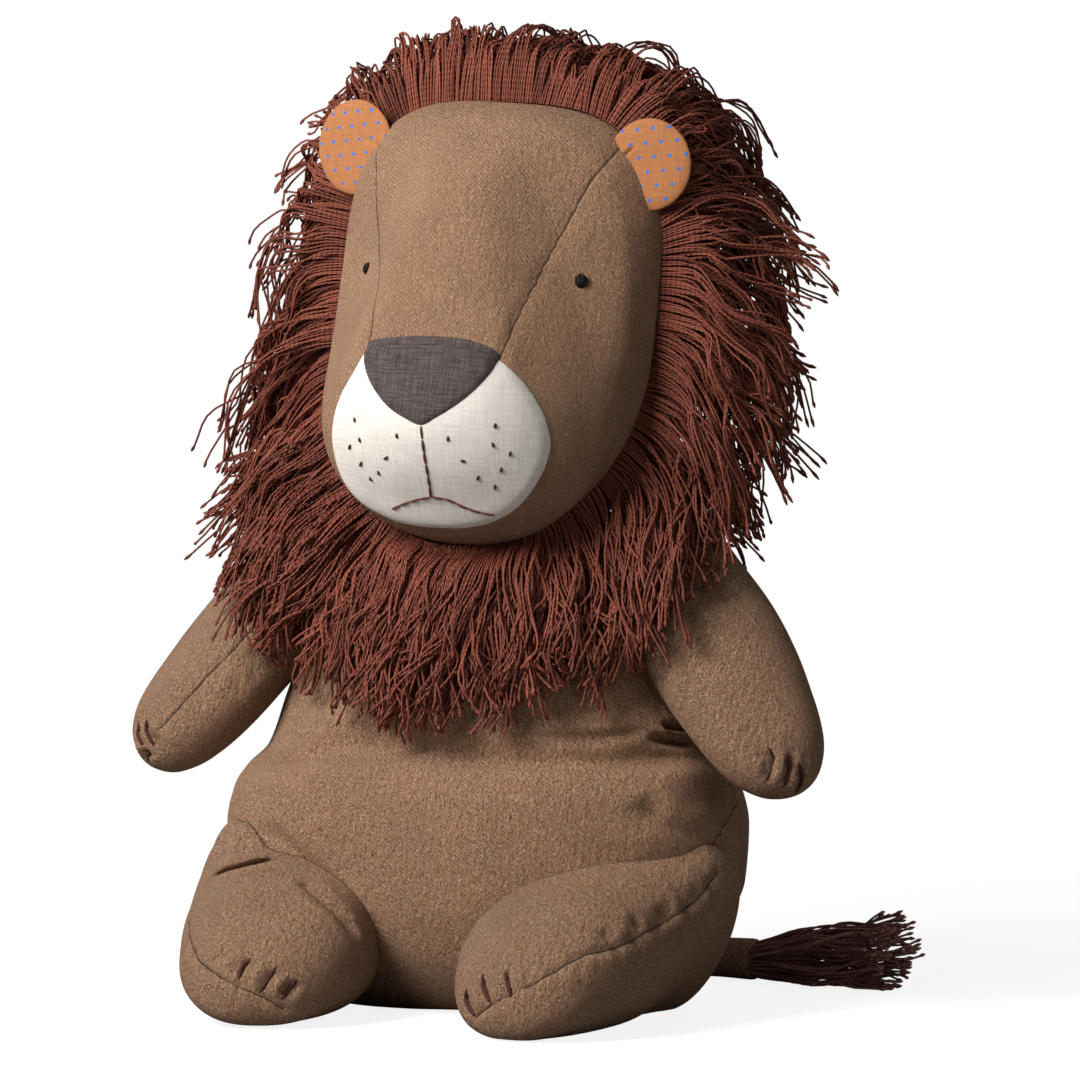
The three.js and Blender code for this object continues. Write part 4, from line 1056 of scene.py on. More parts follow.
def threads(name, paths, girth, thickness, sides, material, tones=None):
    # paths: threads x points x 3 in millimetres; girth: share of the thickness at each point
    paths = np.asarray(paths, float)
    count, steps, _ = paths.shape
    index = np.arange(count * steps).reshape(count, steps)
    edges = np.stack([index[:, :-1].ravel(), index[:, 1:].ravel()], axis=1)
    mesh = bpy.data.meshes.new(name)
    mesh.from_pydata((paths.reshape(-1, 3) * mm).tolist(), edges.tolist(), [])
    tones = np.ones(count) if tones is None else tones
    writeValues(mesh, "girth", np.broadcast_to(girth, (count, steps)))
    writeValues(mesh, "tone", np.repeat(tones[:, None], steps, axis=1))
    obj = bpy.data.objects.new(name, mesh)
    scene.collection.objects.link(obj)
    modifier = obj.modifiers.new("threads", "NODES")
    modifier.node_group = roundThreads
    modifier[threadInputs["Thickness"]] = float(thickness)
    modifier[threadInputs["Sides"]] = int(sides)
    modifier[threadInputs["Finish"]] = material
    bpy.context.view_layer.update()
    made = bpy.data.meshes.new_from_object(obj.evaluated_get(bpy.context.evaluated_depsgraph_get()))
    obj.modifiers.remove(modifier)
    obj.data = made
    made.name = name
    plyUV(obj, count, steps, sides)
    made.polygons.foreach_set("use_smooth", np.ones(len(made.polygons), bool))
    made.update()
    return obj


stitch = {"points": 9, "rise": 0.42, "spacing": 0.4}
stitchShare = np.linspace(0, 1, stitch["points"])
stitchGirth = np.clip(np.sin(math.pi * (0.06 + 0.88 * stitchShare)), 0.05, 1) ** 0.4


def backStitches(hits, width, pitch, sink, gap):
    # stitches end to end along a line on the cloth, each one diving in at its ends
    path = along([p for p, _ in hits], stitch["spacing"])
    normal, last = meanNormal(hits), len(path) - 1
    count = max(1, int(round(stitch["spacing"] * last / pitch)))
    rise = width * (stitch["rise"] * np.sin(math.pi * stitchShare) ** 0.5 - sink)
    lines = []
    for k in range(count):
        at = ((k + gap / 2) + (1 - gap) * stitchShare) / count * last
        lines.append(interpolate(at, np.arange(len(path)), path) + normal * rise[:, None])
    return lines


mouthLines = []
for path in face["mouth"]:
    mouthLines += backStitches(onSurface(muzzleTree, path), **face["mouthStitch"])
mouthStitches = threads("mouthStitches", mouthLines, stitchGirth, face["mouthStitch"]["width"], 8, rustThread)
whiskerLines = []
for px, py, angle in face["whiskers"]:
    dx, dy = (face["whiskerReach"] * turn(math.radians(angle)) for turn in (math.cos, math.sin))
    hits = onSurface(muzzleTree, [(px - dx, py - dy), (px + dx, py + dy)])
    if len(hits) == 2:
        whiskerLines += backStitches(hits, **face["whiskerStitch"])
whiskerStitches = threads("whiskerStitches", whiskerLines, stitchGirth, face["whiskerStitch"]["width"], 8,
                          darkThread)


def eyeKnot(name, spec):
    # a dense oval of black stitches laid side by side, piled up in the middle
    place, normal = onSurface(headTree, [spec["pixel"]])[0]
    up = np.cross(normal, np.cross((math.sin(spec["lean"]), 0, math.cos(spec["lean"])), normal))
    up /= np.linalg.norm(up)
    across = np.cross(up, normal)
    t = np.linspace(-1, 1, 13)
    knot = []
    for pile in range(2):
        for lane in np.linspace(-1, 1, spec["stitches"] - pile):
            half = spec["tall"] / 2 * math.sqrt(1 - (0.85 * lane) ** 2) * (1 - 0.16 * pile)
            rise = 0.25 + 0.45 * pile + 0.5 * (1 - lane * lane) * (1 - t * t) - 0.5 * np.abs(t) ** 6
            beside = lane * (spec["wide"] / 2 - 0.3) + 0.12 * math.sin(7 * lane + pile)
            knot.append(place + across * beside + np.outer(t * half, up) + np.outer(rise, normal))
    return threads(name, knot, 1.0, 0.72, 8, blackThread)


eyes = {sideName: eyeKnot("eyeKnot" + sideName, spec) for sideName, spec in face["eyes"].items()}
print("face ready")


# ears: two panels sewn round the edge, dotted cotton in front and cloth behind, pleated at the root
ear = {"puff": 3.0, "cup": 1.6, "apart": 0.12, "rings": 34, "sides": 128,
       "Left": {"radius": 15.2, "spread": 53.6, "rise": 55.8, "forward": 4.5, "splay": 0,
                "crease": [(-9.4, 1.8), (-4.6, 6.0)], "deep": 1.2},
       "Right": {"radius": 16.0, "spread": 54.4, "rise": 55.8, "forward": 6, "splay": 12,
                 "crease": [(-9.0, 1.0), (-5.0, 4.0)], "deep": 0.6}}


def earPanel(name, side, front):
    shape = ear["Left" if side > 0 else "Right"]
    place = (headPlace @ Matrix.Translation((side * shape["spread"], -shape["forward"], shape["rise"]))
             @ Matrix.Rotation(math.radians(side * shape["splay"]), 4, "Z"))
    verts, uv = [], []
    for ring, share in enumerate(1 - (1 - np.linspace(0, 1, ear["rings"])) ** 1.6):
        for s in range(ear["sides"] if ring else 1):
            angle = 2 * math.pi * s / ear["sides"]
            r = shape["radius"] * share
            x, z = r * math.cos(angle), r * math.sin(angle)
            puff = ear["puff"] * max(0.0, 1 - share ** 2.6) ** 0.62
            cup = ear["cup"] * (share ** 2)
            if front:
                # a short crease runs in from the root, on the front only
                away, run = pathDistance(np.array([[side * x, z]]), np.array(shape["crease"]))
                deep = shape["deep"] * min(1.0, 3 * (1 - run[0]), 3 * run[0] + 0.3)
                puff += deep * (0.18 * math.exp(-((away[0] - 1.3) / 1.2) ** 2)
                                - math.exp(-(away[0] / 0.42) ** 2))
                verts.append((x, -puff - cup - ear["apart"], z))
            else:
                verts.append((x, puff * 0.9 - cup + ear["apart"], z))
            uv.append((x, z))
    points = turnedBy(np.array(verts), place)
    facing = place.to_3x3() @ Vector((0, -1 if front else 1, 0))
    obj = sheetMesh(name, points, uv, ear["sides"], dottedCotton if front else brownCloth, facing)
    for label in ("seam", "seamSide"):
        writeValues(obj.data, label, np.full(len(points), farFromSeam))
    return obj


ears = {}
for sideName, side in (("Left", 1), ("Right", -1)):
    ears["front" + sideName] = earPanel("earFront" + sideName, side, True)
    ears["back" + sideName] = earPanel("earBack" + sideName, side, False)
print("ears ready")


# arms: rows of distance from the shoulder, half width, half thickness, shift, squareness
arm = {
    "rows": [(-20, 0, 0, 0, 2.0), (-14, 14, 11, 0, 2.1), (-6, 20.5, 15, 0, 2.1), (8, 22.5, 16.8, 0, 2.1),
             (29, 24, 17.2, 0, 2.1), (50, 23.6, 16.8, 0, 2.1), (67, 21.5, 16, 0, 2.15),
             (81, 17.8, 14.2, 0, 2.2), (91, 12, 10.2, 0, 2.2), (97, 0, 0, 0, 2.0)],
    "rings": 150, "sides": 180, "spread": 61, "forward": 8, "height": 147, "out": 35, "ahead": 25,
    "twist": 30,
    "reach": {"Left": 1.0, "Right": 0.95}, "underSeam": {"low": -8, "high": 92, "points": 50, "behind": 30},
    "seam": {"width": 1.6, "depth": 0.6},
    "puckers": {"spacing": 9.0, "reach": 10.0, "depth": 0.5, "seed": 51},
    "clawWidth": 1.25, "clawDent": {"width": 1.7, "depth": 1.9, "fade": 0.3, "lift": 0.5},
}
armPixels = {
    "Right": {
        "seam": [(268, 614), (250, 631), (225, 658), (208, 675), (191, 694), (172, 715), (156, 735),
                 (152, 745)],
        "claws": [[(147, 719), (146, 728), (149, 737), (154, 746)],
                  [(139, 722), (138, 733), (141, 742), (147, 751)],
                  [(150, 752), (147, 757), (149, 760)]],
        "folds": [{"pixels": [(215, 652), (222, 664), (224, 676)], "width": 2.2, "depth": 0.9, "fade": 0.5},
                  {"pixels": [(232, 668), (238, 690), (236, 706)], "width": 2.2, "depth": 0.7, "fade": 0.5},
                  {"pixels": [(247, 650), (256, 670), (256, 690)], "width": 2.2, "depth": 0.7, "fade": 0.5},
                  {"pixels": [(262, 640), (272, 658), (274, 676)], "width": 2.0, "depth": 0.6, "fade": 0.5}],
    },
    "Left": {
        "seam": [],
        "claws": [[(768, 747), (773, 757), (771, 770), (764, 783)],
                  [(786, 754), (790, 766), (788, 777), (783, 787)],
                  [(798, 762), (802, 774), (800, 786), (795, 793)]],
        "folds": [{"pixels": [(712, 655), (700, 662), (690, 672)], "width": 4.5, "depth": 1.6, "fade": 0.5},
                  {"pixels": [(756, 744), (764, 762), (757, 780)], "width": 2.6, "depth": 1.2, "fade": 0.4},
                  {"pixels": [(780, 756), (780, 772), (776, 786)], "width": 1.8, "depth": 1.0, "fade": 0.4}],
    },
}


def clawStitches(name, tree, lines, width):
    # each claw is a line of satin stitch: three threads side by side over a low pad
    made = []
    for line in lines:
        hits = onSurface(tree, line)
        if len(hits) < 2:
            continue
        path = along([p for p, _ in hits], stitch["spacing"])
        normal = meanNormal(hits)
        across = np.cross(np.gradient(path, axis=0), normal)
        across /= np.linalg.norm(across, axis=1, keepdims=True)
        share = np.linspace(0, 1, len(path))
        for lane in (-1, 0, 1):
            lift = 0.12 + 0.22 * (1 - abs(lane)) - 0.7 * np.abs(2 * share - 1) ** 6
            made.append(evenly(path + across * (lane * width * 0.26 * np.sin(math.pi * share) ** 0.5)[:, None]
                               + normal * lift[:, None], 20))
    return threads(name, made, 1.0, width * 0.6, 8, darkThread)


def pressLimb(cover, spec, pixels):
    # the limb's creases, and a dent under each claw
    for fold in pixels["folds"]:
        pressFold(cover, fold)
    for line in pixels["claws"]:
        pressFold(cover, {"pixels": line, **spec["clawDent"]})


def underSeam(tree, place):
    # the seam that closes the sleeve underneath
    spec, seam = arm["underSeam"], []
    down = np.linspace(spec["low"], spec["high"], spec["points"])
    outside, axis = (turnedBy(np.array([(0, behind, -z) for z in down]), place)
                     for behind in (spec["behind"], 0))
    for a, b in zip(outside, axis):
        hit = tree.ray_cast(Vector(a) * mm, Vector(b - a).normalized())[0]
        if hit is not None:
            seam.append(np.array(hit) / mm)
    return np.array(seam)


covers, claws = {}, {}
for sideName, side in (("Left", 1), ("Right", -1)):
    pixels = armPixels[sideName]
    place = (Matrix.Translation((side * arm["spread"], -arm["forward"], arm["height"]))
             @ Matrix.Rotation(math.radians(-arm["ahead"]), 4, "X")
             @ Matrix.Rotation(math.radians(-side * arm["out"]), 4, "Y")
             @ Matrix.Rotation(math.radians(side * arm["twist"]), 4, "Z"))
    place = place @ Matrix.Scale(arm["reach"][sideName], 4, (0, 0, 1))
    cover = ringForm("armCover" + sideName, arm, "down", limbClothWithPaintedLight, place)
    flatUV(cover, place, ((1, 0, 0), (0, 0, 1)))
    lumpy(cover, 45, 0.45, 12 + side)
    tree = treeOf(cover)
    pressLimb(cover, arm, pixels)
    seamLines = [lineOn(tree, pixels["seam"])] if pixels["seam"] else []
    sewUp(cover, seamLines + [underSeam(tree, place)], arm)
    covers["arm" + sideName] = cover
    claws["arm" + sideName] = clawStitches("clawStitchesArm" + sideName, treeOf(cover), pixels["claws"],
                                           arm["clawWidth"])
print("arms ready")


# legs: rows of distance from the hip, half width, half height, middle height, upper squareness,
# narrowing towards the top and lower squareness
leg = {
    "rows": [(-26, 0, 0, 0, 2.2, -0.1, 2.2), (-20, 18, 22, -2, 2.2, -0.3, 2.0),
             (-12, 26.2, 30, -2.3, 2.2, -0.32, 2.0), (5, 31.4, 32, -0.3, 2.2, -0.26, 2.0),
             (26, 32.5, 28.4, -3.7, 2.2, -0.08, 2.1), (46.5, 32.7, 25, -7.3, 2.2, 0.05, 2.4),
             (65, 30.7, 22, -10.3, 2.2, 0.05, 2.4), (79, 25.4, 18.1, -14, 2.2, 0.05, 2.4),
             (88.4, 16.5, 12.4, -18.5, 2.2, 0.05, 2.4), (93, 0, 0, -20, 2.2, 0.05, 2.4)],
    "rings": 170, "sides": 220, "spread": 61, "forward": 27, "height": 32, "toeIn": 12, "sole": 0.4,
    "seam": {"width": 1.8, "depth": 0.7},
    "puckers": {"spacing": 12.0, "reach": 8.0, "depth": 0.5, "seed": 61},
    "clawWidth": 1.5, "clawDent": {"width": 1.8, "depth": 1.3, "fade": 0.3, "lift": 0.45},
    # the weave's directions over and under the leg
    "over": ((1, 0, 0), (0, 0.7, 0.75)), "under": ((1, 0, 0), (0, 0.7, -0.75)), "underFaces": (0, -0.7, -0.7),
}
legPixels = {
    "Right": {
        "seam": [(191, 902), (187, 922), (190, 942), (198, 960), (213, 973), (228, 982), (242, 989),
                 (262, 997), (283, 1010), (303, 1026)],
        "claws": [[(251, 959), (244, 965), (240, 973), (238, 979)],
                  [(276, 967), (271, 975), (265, 984), (259, 993)],
                  [(296, 979), (291, 987), (286, 993), (281, 999)]],
        "folds": [{"pixels": [(214, 848), (236, 839), (258, 839), (282, 848)], "width": 12.0, "depth": -7.0,
                   "lift": 0, "sharp": 2, "fade": 0.4},
                  {"pixels": [(206, 880), (220, 874), (232, 870), (246, 866), (264, 862), (290, 861)],
                   "width": 2.8, "depth": 6.5, "lift": 0.15, "sharp": 1.6, "into": 1.0, "fade": 0.3},
                  {"pixels": [(298, 876), (312, 888), (328, 902), (346, 920), (362, 940)],
                   "width": 2.6, "depth": 5.0, "lift": 0.15, "sharp": 1.5, "into": 0.6, "fade": 0.2},
                  {"pixels": [(205, 962), (222, 956), (238, 950)], "width": 2.0, "depth": 1.6, "fade": 0.5},
                  {"pixels": [(218, 975), (232, 966), (244, 962)], "width": 1.8, "depth": 1.4, "fade": 0.5},
                  {"pixels": [(232, 955), (240, 968), (254, 980), (270, 990)], "width": 2.4, "depth": 1.3,
                   "fade": 0.5}],
    },
    "Left": {
        "seam": [(718, 872), (708, 887), (696, 901), (669, 919), (645, 933), (623, 945), (603, 951),
                 (588, 954), (564, 966), (545, 977), (520, 990), (491, 1005), (475, 1018), (458, 1029)],
        "claws": [[(467, 989), (466, 998), (469, 1007), (476, 1016)],
                  [(483, 974), (483, 984), (486, 994), (491, 1003)],
                  [(506, 971), (507, 980), (509, 988), (511, 997)]],
        "folds": [{"pixels": [(640, 935), (637, 925), (640, 915)], "width": 2.2, "depth": 1.6, "fade": 0.5},
                  {"pixels": [(662, 925), (664, 910), (660, 900)], "width": 3.0, "depth": 1.8, "fade": 0.5},
                  {"pixels": [(612, 947), (606, 934), (600, 925)], "width": 2.6, "depth": 1.2, "fade": 0.5},
                  {"pixels": [(540, 980), (525, 975), (516, 968)], "width": 2.2, "depth": 1.2, "fade": 0.5},
                  {"pixels": [(690, 905), (697, 890), (700, 878)], "width": 2.2, "depth": 0.8, "fade": 0.5}],
    },
}


def flatSole(cover, sole):
    # what would sink into the floor is pressed flat just above it
    points = pointsOf(cover)
    points[:, 2] = np.where(points[:, 2] < sole, sole + 0.04 * points[:, 2], points[:, 2])
    setPoints(cover, points)


for sideName, side in (("Left", 1), ("Right", -1)):
    pixels = legPixels[sideName]
    place = (Matrix.Translation((side * leg["spread"], -leg["forward"], leg["height"]))
             @ Matrix.Rotation(math.radians(-side * leg["toeIn"]), 4, "Z"))
    cover = ringForm("legCover" + sideName, leg, "front", limbClothWithPaintedLight, place)
    flatUV(cover, place, leg["over"], leg["under"], leg["underFaces"], 0.72)
    lumpy(cover, 48, 0.5, 22 + side)
    tree = treeOf(cover)
    pressLimb(cover, leg, pixels)
    puckerSeed = leg["puckers"]["seed"] + side
    sewUp(cover, [lineOn(tree, pixels["seam"])], {**leg, "puckers": {**leg["puckers"], "seed": puckerSeed}})
    # a dark line where the leg meets the torso: its seam, with painted crease shade
    joinSeamAndPaintedShade(cover, torsoCover)
    flatSole(cover, leg["sole"])
    covers["leg" + sideName] = cover
    claws["leg" + sideName] = clawStitches("clawStitchesLeg" + sideName, treeOf(cover), pixels["claws"],
                                           leg["clawWidth"])
print("legs ready")


# tail: a stuffed tube that curls along the floor from the back seam, bound where the tuft begins
tail = {"radius": 7.0, "route": [(0, 36), (10.2, 64.4), (32, 70), (71.5, 64.6)], "height": 7.4, "sides": 48,
        "rings": 90}


def tubeGrid(path, radius, sides):
    # rings square to a path, the first and last drawn to a point
    tangent = np.gradient(path, axis=0)
    tangent /= np.linalg.norm(tangent, axis=1, keepdims=True)
    side = np.cross(tangent, np.array([0, 0, 1.0]))
    side /= np.linalg.norm(side, axis=1, keepdims=True)
    up = np.cross(side, tangent)
    angle = np.linspace(-math.pi / 2, 1.5 * math.pi, sides + 1)
    return (path[:, None] + side[:, None] * (np.cos(angle)[None, :, None] * radius[:, None, None])
            + up[:, None] * (np.sin(angle)[None, :, None] * radius[:, None, None]))


tailPath = evenly(along([(x, y, tail["height"]) for x, y in tail["route"]]), tail["rings"])
tailShare = np.linspace(0, 1, tail["rings"])
tailEnds = np.sqrt(np.clip(np.minimum(tailShare, 1 - tailShare) / 0.035, 0, 1))
tailRadius = tail["radius"] * tailEnds * (1 + 0.02 * np.sin(tailShare * 21))
tailGrid = tubeGrid(tailPath, tailRadius, tail["sides"])
tailCover = meshFromGrid("tailCover", tailGrid, surfaceUV(tailGrid, tail["sides"] // 2), limbClothWithPaintedLight)
markSeams(tailCover, [tailPath - np.array([0, 0, tail["radius"]])])
print("tail ready")


# mane: rows of yarn in the rim seam, combed into locks, every yarn knotted at its end
mane = {
    "pitch": 0.86, "thickness": 0.78, "sides": 5, "seed": 7, "lock": 13.0, "strand": 3.8, "points": 21,
    # share of yarns in open loops, degrees from the top past which yarn hangs, nearness to head and body
    "strays": 0.032, "hangsFrom": 108, "overHead": 0.45, "overBody": 3.0,
    # rows from front to back: depth in front of the rim seam, how far back the middle and the tip lie,
    # share of the reach
    "rows": [(2.4, -1.5, -4, 0.98), (0.6, 0, 0, 1.0), (-1.4, 2, 3, 1.02), (-3.6, 4, 6, 1.0),
             (-5.8, 6, 9, 0.98), (-8.0, 8, 13, 0.94), (-8.8, 6, 10, 0.84), (-9.6, 10, 18, 0.9),
             (-10.2, 12, 23, 0.84)],
    # degrees from the top, forward shift of the root, first stretch outward, then the bend and the tip,
    # each as out, up and back from the root
    "sweep": [
        (0, 0, 30, 0, 19, 27, 1, -9, 37), (25, 0, 29, 9, 13, 27, 11, -12, 37),
        (42, 0, 26, 18, 5, 23, 19, -18, 33), (57, 0, 23, 26, -7, 16, 29, -27, 26),
        (72, 0, 22, 31, -17, 10, 36, -38, 19), (90, 0, 22, 33, -27, 6, 40, -46, 13),
        (105, 0, 22, 31, -31, 3, 39, -51, 8), (120, 2.6, 21, 30, -33, 2, 38, -52, 2),
        (135, 8, 19, 28, -36, -4, 33, -54, -6), (150, 15, 17, 22, -38, -10, 24, -56, -14),
        (165, 22, 16, 9, -41, -15, 10, -57, -20), (180, 26, 15, 0, -42, -17, 0, -58, -23),
    ],
    # how the hand left it: signed degrees, farther out, farther up
    "uneven": [(-180, 0, 8), (-160, 0, 7), (-145, 3, 7), (-125, 5, 9), (-105, 3, 2), (-90, 0, 0), (-75, 1, 1),
               (-60, 5, 6), (-42, 10, 10), (-25, 6, 4), (-12, 2, 2), (0, 0, -1), (12, 0, -8), (20, 0, -5),
               (32, 0, 3), (42, -2, 3), (57, -3, 4), (72, -1, 5), (90, -7, 3), (105, -13, 2), (122, -13, 4),
               (140, -7, 4), (160, 0, 7), (180, 0, 8)],
}


# full thickness, then the knot, then a short frayed end
knot = {"at": [0.955, 0.967, 0.976, 0.984, 0.993, 1.0], "girth": [1, 1.25, 1.6, 1.5, 1.0, 0.6]}


def yarnSteps(count):
    return np.concatenate([np.linspace(0, knot["at"][0], count - 5), knot["at"][1:]])


def yarnGirth(steps):
    return np.interp(steps, [0] + knot["at"], [1] + knot["girth"])


def smooth(t, low, high):
    x = np.clip((t - low) / (high - low), 0, 1)
    return x * x * (3 - 2 * x)


def groups(order, width, rng, spread=0.45):
    # cut a run of positions into lengths of about one width
    edges = [order.min() - 0.01]
    while edges[-1] < order.max():
        edges.append(edges[-1] + width * (1 + spread * rng.uniform(-1, 1)))
    return np.searchsorted(np.array(edges), order) - 1


def meanPath(paths, ids):
    count = ids.max() + 1
    total = np.zeros((count,) + paths.shape[1:])
    np.add.at(total, ids, paths)
    return (total / np.maximum(np.bincount(ids, minlength=count), 1)[:, None, None])[ids]


def comb(paths, t, small, big, rng, gather=(0.62, 0.14), loose=1.0):
    # gather yarns into strands and strands into locks, with waves and loose ends
    s = smooth(t, 0.05, 0.6)[None, :, None]
    late = smooth(t, 0.7, 1.0)[None, :, None]
    paths = paths + (meanPath(paths, small) - paths) * (gather[0] * s * (1 - 0.5 * late))
    paths = paths + (meanPath(paths, big) - paths) * (gather[1] * smooth(t, 0.2, 0.8)[None, :, None])
    n = len(paths)
    paths = paths + rng.normal(size=(n, 1, 3)) * 0.7 * smooth(t, 0.05, 0.5)[None, :, None]
    strands = small.max() + 1
    for owner, count, amount, low, high in ((small, strands, 3.3, 0.6, 1.4), (None, n, 0.9, 0.8, 1.8),
                                            (None, n, 0.5, 2.0, 3.2)):
        turns, phase = rng.uniform(low, high, (count, 1, 3)), rng.uniform(0, 6.28, (count, 1, 3))
        wave = amount * loose * np.sin(2 * math.pi * turns * t[None, :, None] + phase) * s
        paths = paths + (wave if owner is None else wave[owner])
    # ends curl away, each in its own direction
    away = rng.normal(size=(n, 1, 3)) * 1.9 * loose
    return paths + away * (np.clip(t - 0.55, 0, 1) ** 1.7)[None, :, None] * 2.4


def keepOut(points, tree, clearance, reach=12.0):
    # move points that are inside a form, or too near, to just outside its cloth
    flat = points.reshape(-1, 3)
    clearance = np.repeat(clearance, points.shape[1])
    for k, p in enumerate(flat):
        clear = clearance[k]
        hit, normal, _, _ = tree.find_nearest(Vector(p) * mm, (reach + clear) * mm)
        if hit is None:
            continue
        hit, normal = np.array(hit) / mm, np.array(normal)
        height = float((p - hit) @ normal)
        if height < clear:
            flat[k] = hit + normal * clear
    return flat.reshape(points.shape)


def inFront(points, trees, clear, owner):
    # hanging yarn lies in layers over the chest and arms: whole stretches of it come forward by strands
    push = np.zeros(points.shape[:2])
    for k, yarn in enumerate(points):
        for j, p in enumerate(yarn):
            for tree in trees:
                hit = tree.ray_cast(Vector((p[0], -160, p[2])) * mm, Vector((0, 1, 0)), 0.2)[0]
                if hit is not None:
                    push[k, j] = max(push[k, j], p[1] - hit.y / mm + clear[k])
    def beside():
        edge = np.pad(push, ((0, 0), (2, 2)), mode="edge")
        return np.stack([edge[:, k:k + points.shape[1]] for k in range(5)])
    push = beside().max(0)
    push = np.tensordot([0.11, 0.22, 0.34, 0.22, 0.11], beside(), 1)
    owner = np.unique(owner, return_inverse=True)[1]
    strand = np.zeros((owner.max() + 1, points.shape[1]))
    np.add.at(strand, owner, push)
    strand /= np.bincount(owner)[:, None]
    push = np.maximum(push, strand[owner])
    push[:, :3] *= np.array([0, 0.35, 0.75])
    points[:, :, 1] -= push
    return points


def headRing(depth, sides, wider=0.0):
    # the head's outline at a depth in front of the rim seam, in its own front view
    row = eased(head["rows"], np.array([depth]), squared=(0, 1))
    ring = outlineRings(row[:, 0] + wider, row[:, 1] + wider, row[:, 3], row[:, 5], row[:, 4], sides)[0]
    ring[:, 1] += row[0, 2]
    return ring


def manePaths():
    rng = np.random.default_rng(mane["seed"])
    sweep, uneven = np.array(mane["sweep"], float), np.array(mane["uneven"], float)
    steps = yarnSteps(mane["points"])
    t = steps[None, :, None]
    allPaths, allAngles, allTones, allLayers, allStrands = [], [], [], [], []
    for level, (depth, backMiddle, backTip, share) in enumerate(mane["rows"]):
        ring = headRing(depth, 720)
        run = np.concatenate([[0], np.hypot(*np.diff(ring, axis=0).T).cumsum()])
        count = int(run[-1] / mane["pitch"])
        place = (np.arange(count) + rng.uniform(-0.3, 0.3, count)) / count * run[-1] % run[-1]
        x, z = np.interp(place, run, ring[:, 0]), np.interp(place, run, ring[:, 1])
        ahead, behind = (place + 1.5) % run[-1], (place - 1.5) % run[-1]
        tx = np.interp(ahead, run, ring[:, 0]) - np.interp(behind, run, ring[:, 0])
        tz = np.interp(ahead, run, ring[:, 1]) - np.interp(behind, run, ring[:, 1])
        size = np.hypot(tx, tz)
        nx, nz = tz / size, -tx / size
        outside = np.sign(nx * x + nz * z)
        nx, nz = nx * outside, nz * outside
        side = np.clip(x / 12.0, -1, 1)
        signed = np.degrees(np.arctan2(x, z))
        angle = np.abs(signed)
        low = smooth(angle, 105, 165)
        big = groups(place, mane["lock"], rng)
        small = np.unique(big * 1000 + groups(place, mane["strand"], rng), return_inverse=True)[1]
        locks, strands = big.max() + 1, small.max() + 1
        shift, first, bendOut, bendUp, bendBack, tipOut, tipUp, tipBack = (
            np.interp(angle, sweep[:, 0], sweep[:, c]) for c in range(1, 9))
        moreOut, moreUp = (np.interp(signed, uneven[:, 0], uneven[:, c]) for c in (1, 2))
        root = np.stack([x, -depth * (1 - 0.55 * low) - shift, z], axis=1)
        first = first * (1 + rng.normal(0, 0.1, locks)[big] + rng.normal(0, 0.05, strands)[small])
        p1 = np.stack([nx, np.zeros(count), nz], axis=1) * first[:, None]
        p1[:, 1] += backMiddle * 0.4 * (1 - low)
        p2 = np.stack([side * (bendOut + 0.7 * moreOut), bendBack + backMiddle * (1 - low),
                       bendUp + 0.7 * moreUp], axis=1)
        tip = np.stack([side * (tipOut + moreOut), tipBack + backTip * (1 - low), tipUp + moreUp], axis=1)
        # every lock and strand swings, lifts and ends in its own way
        top = 1 - smooth(angle, 35, 80)
        swing = np.radians(rng.normal(0, 1, locks)[big] * (7 + 12 * top) + rng.normal(0, 3.5, strands)[small]
                           + rng.normal(0, 1.2, count))
        grow = share * (1 + rng.normal(0, 0.07, locks)[big] + rng.normal(0, 0.03, strands)[small]
                        + rng.normal(0, 0.02, count))
        lift = rng.normal(0, 3.5, locks)[big] + rng.normal(0, 1.6, strands)[small]
        rises = np.abs(rng.normal(0, 5.0, locks)[big]) * top + rng.normal(0, 1.6, strands)[small]
        for vector, much in ((p1, 0.45), (p2, 0.8), (tip, 1.0)):
            c, s = np.cos(swing * much), np.sin(swing * much)
            vx, vz = vector[:, 0].copy(), vector[:, 2].copy()
            vector[:, 0], vector[:, 2] = vx * c - vz * s, vx * s + vz * c
            vector *= grow[:, None]
            vector[:, 1] += lift * much
            vector[:, 2] += rises * math.sin(math.pi * min(much, 0.8))
        # the tips fan out: each strand, then each yarn
        tip += rng.normal(0, 3.0, (strands, 3))[small] + rng.normal(0, 1.1, (count, 3))
        path = 3 * t * (1 - t) ** 2 * p1[:, None] + 3 * t ** 2 * (1 - t) * p2[:, None] + t ** 3 * tip[:, None]
        # a few yarns spring out of the comb in open loops
        stray = np.where(rng.uniform(size=count) < mane["strays"])[0]
        for k in stray:
            turn = rng.uniform(3.2, 5.6) * rng.choice([-1, 1])
            wide, s0 = rng.uniform(3, 6.0), rng.uniform(0.35, 0.6)
            bend = turn * np.clip(steps - s0, 0, 1) / (1 - s0)
            path[k, :, 0] += wide * (np.cos(bend) - 1) + nx[k] * wide * smooth(steps, s0, 1)
            path[k, :, 2] += wide * np.sin(bend) + nz[k] * wide * smooth(steps, s0, 1)
        allPaths.append(comb(root[:, None] + path, steps, small, big, rng))
        allAngles.append(signed)
        allStrands.append(small + 10000 * level)
        # front rows hang on top of the rows behind, and strands lie over each other
        allLayers.append(0.8 + 0.85 * (len(mane["rows"]) - 1 - level) + rng.uniform(0, 4.2, strands)[small]
                         + rng.uniform(0, 0.9, count))
        allTones.append(np.clip(1 + rng.normal(0, 0.08, locks)[big] + rng.normal(0, 0.1, strands)[small]
                                + rng.normal(0, 0.15, count), 0.5, 1.4))
    return [np.concatenate(part) for part in (allPaths, allAngles, allTones, allLayers, allStrands)] + [steps]


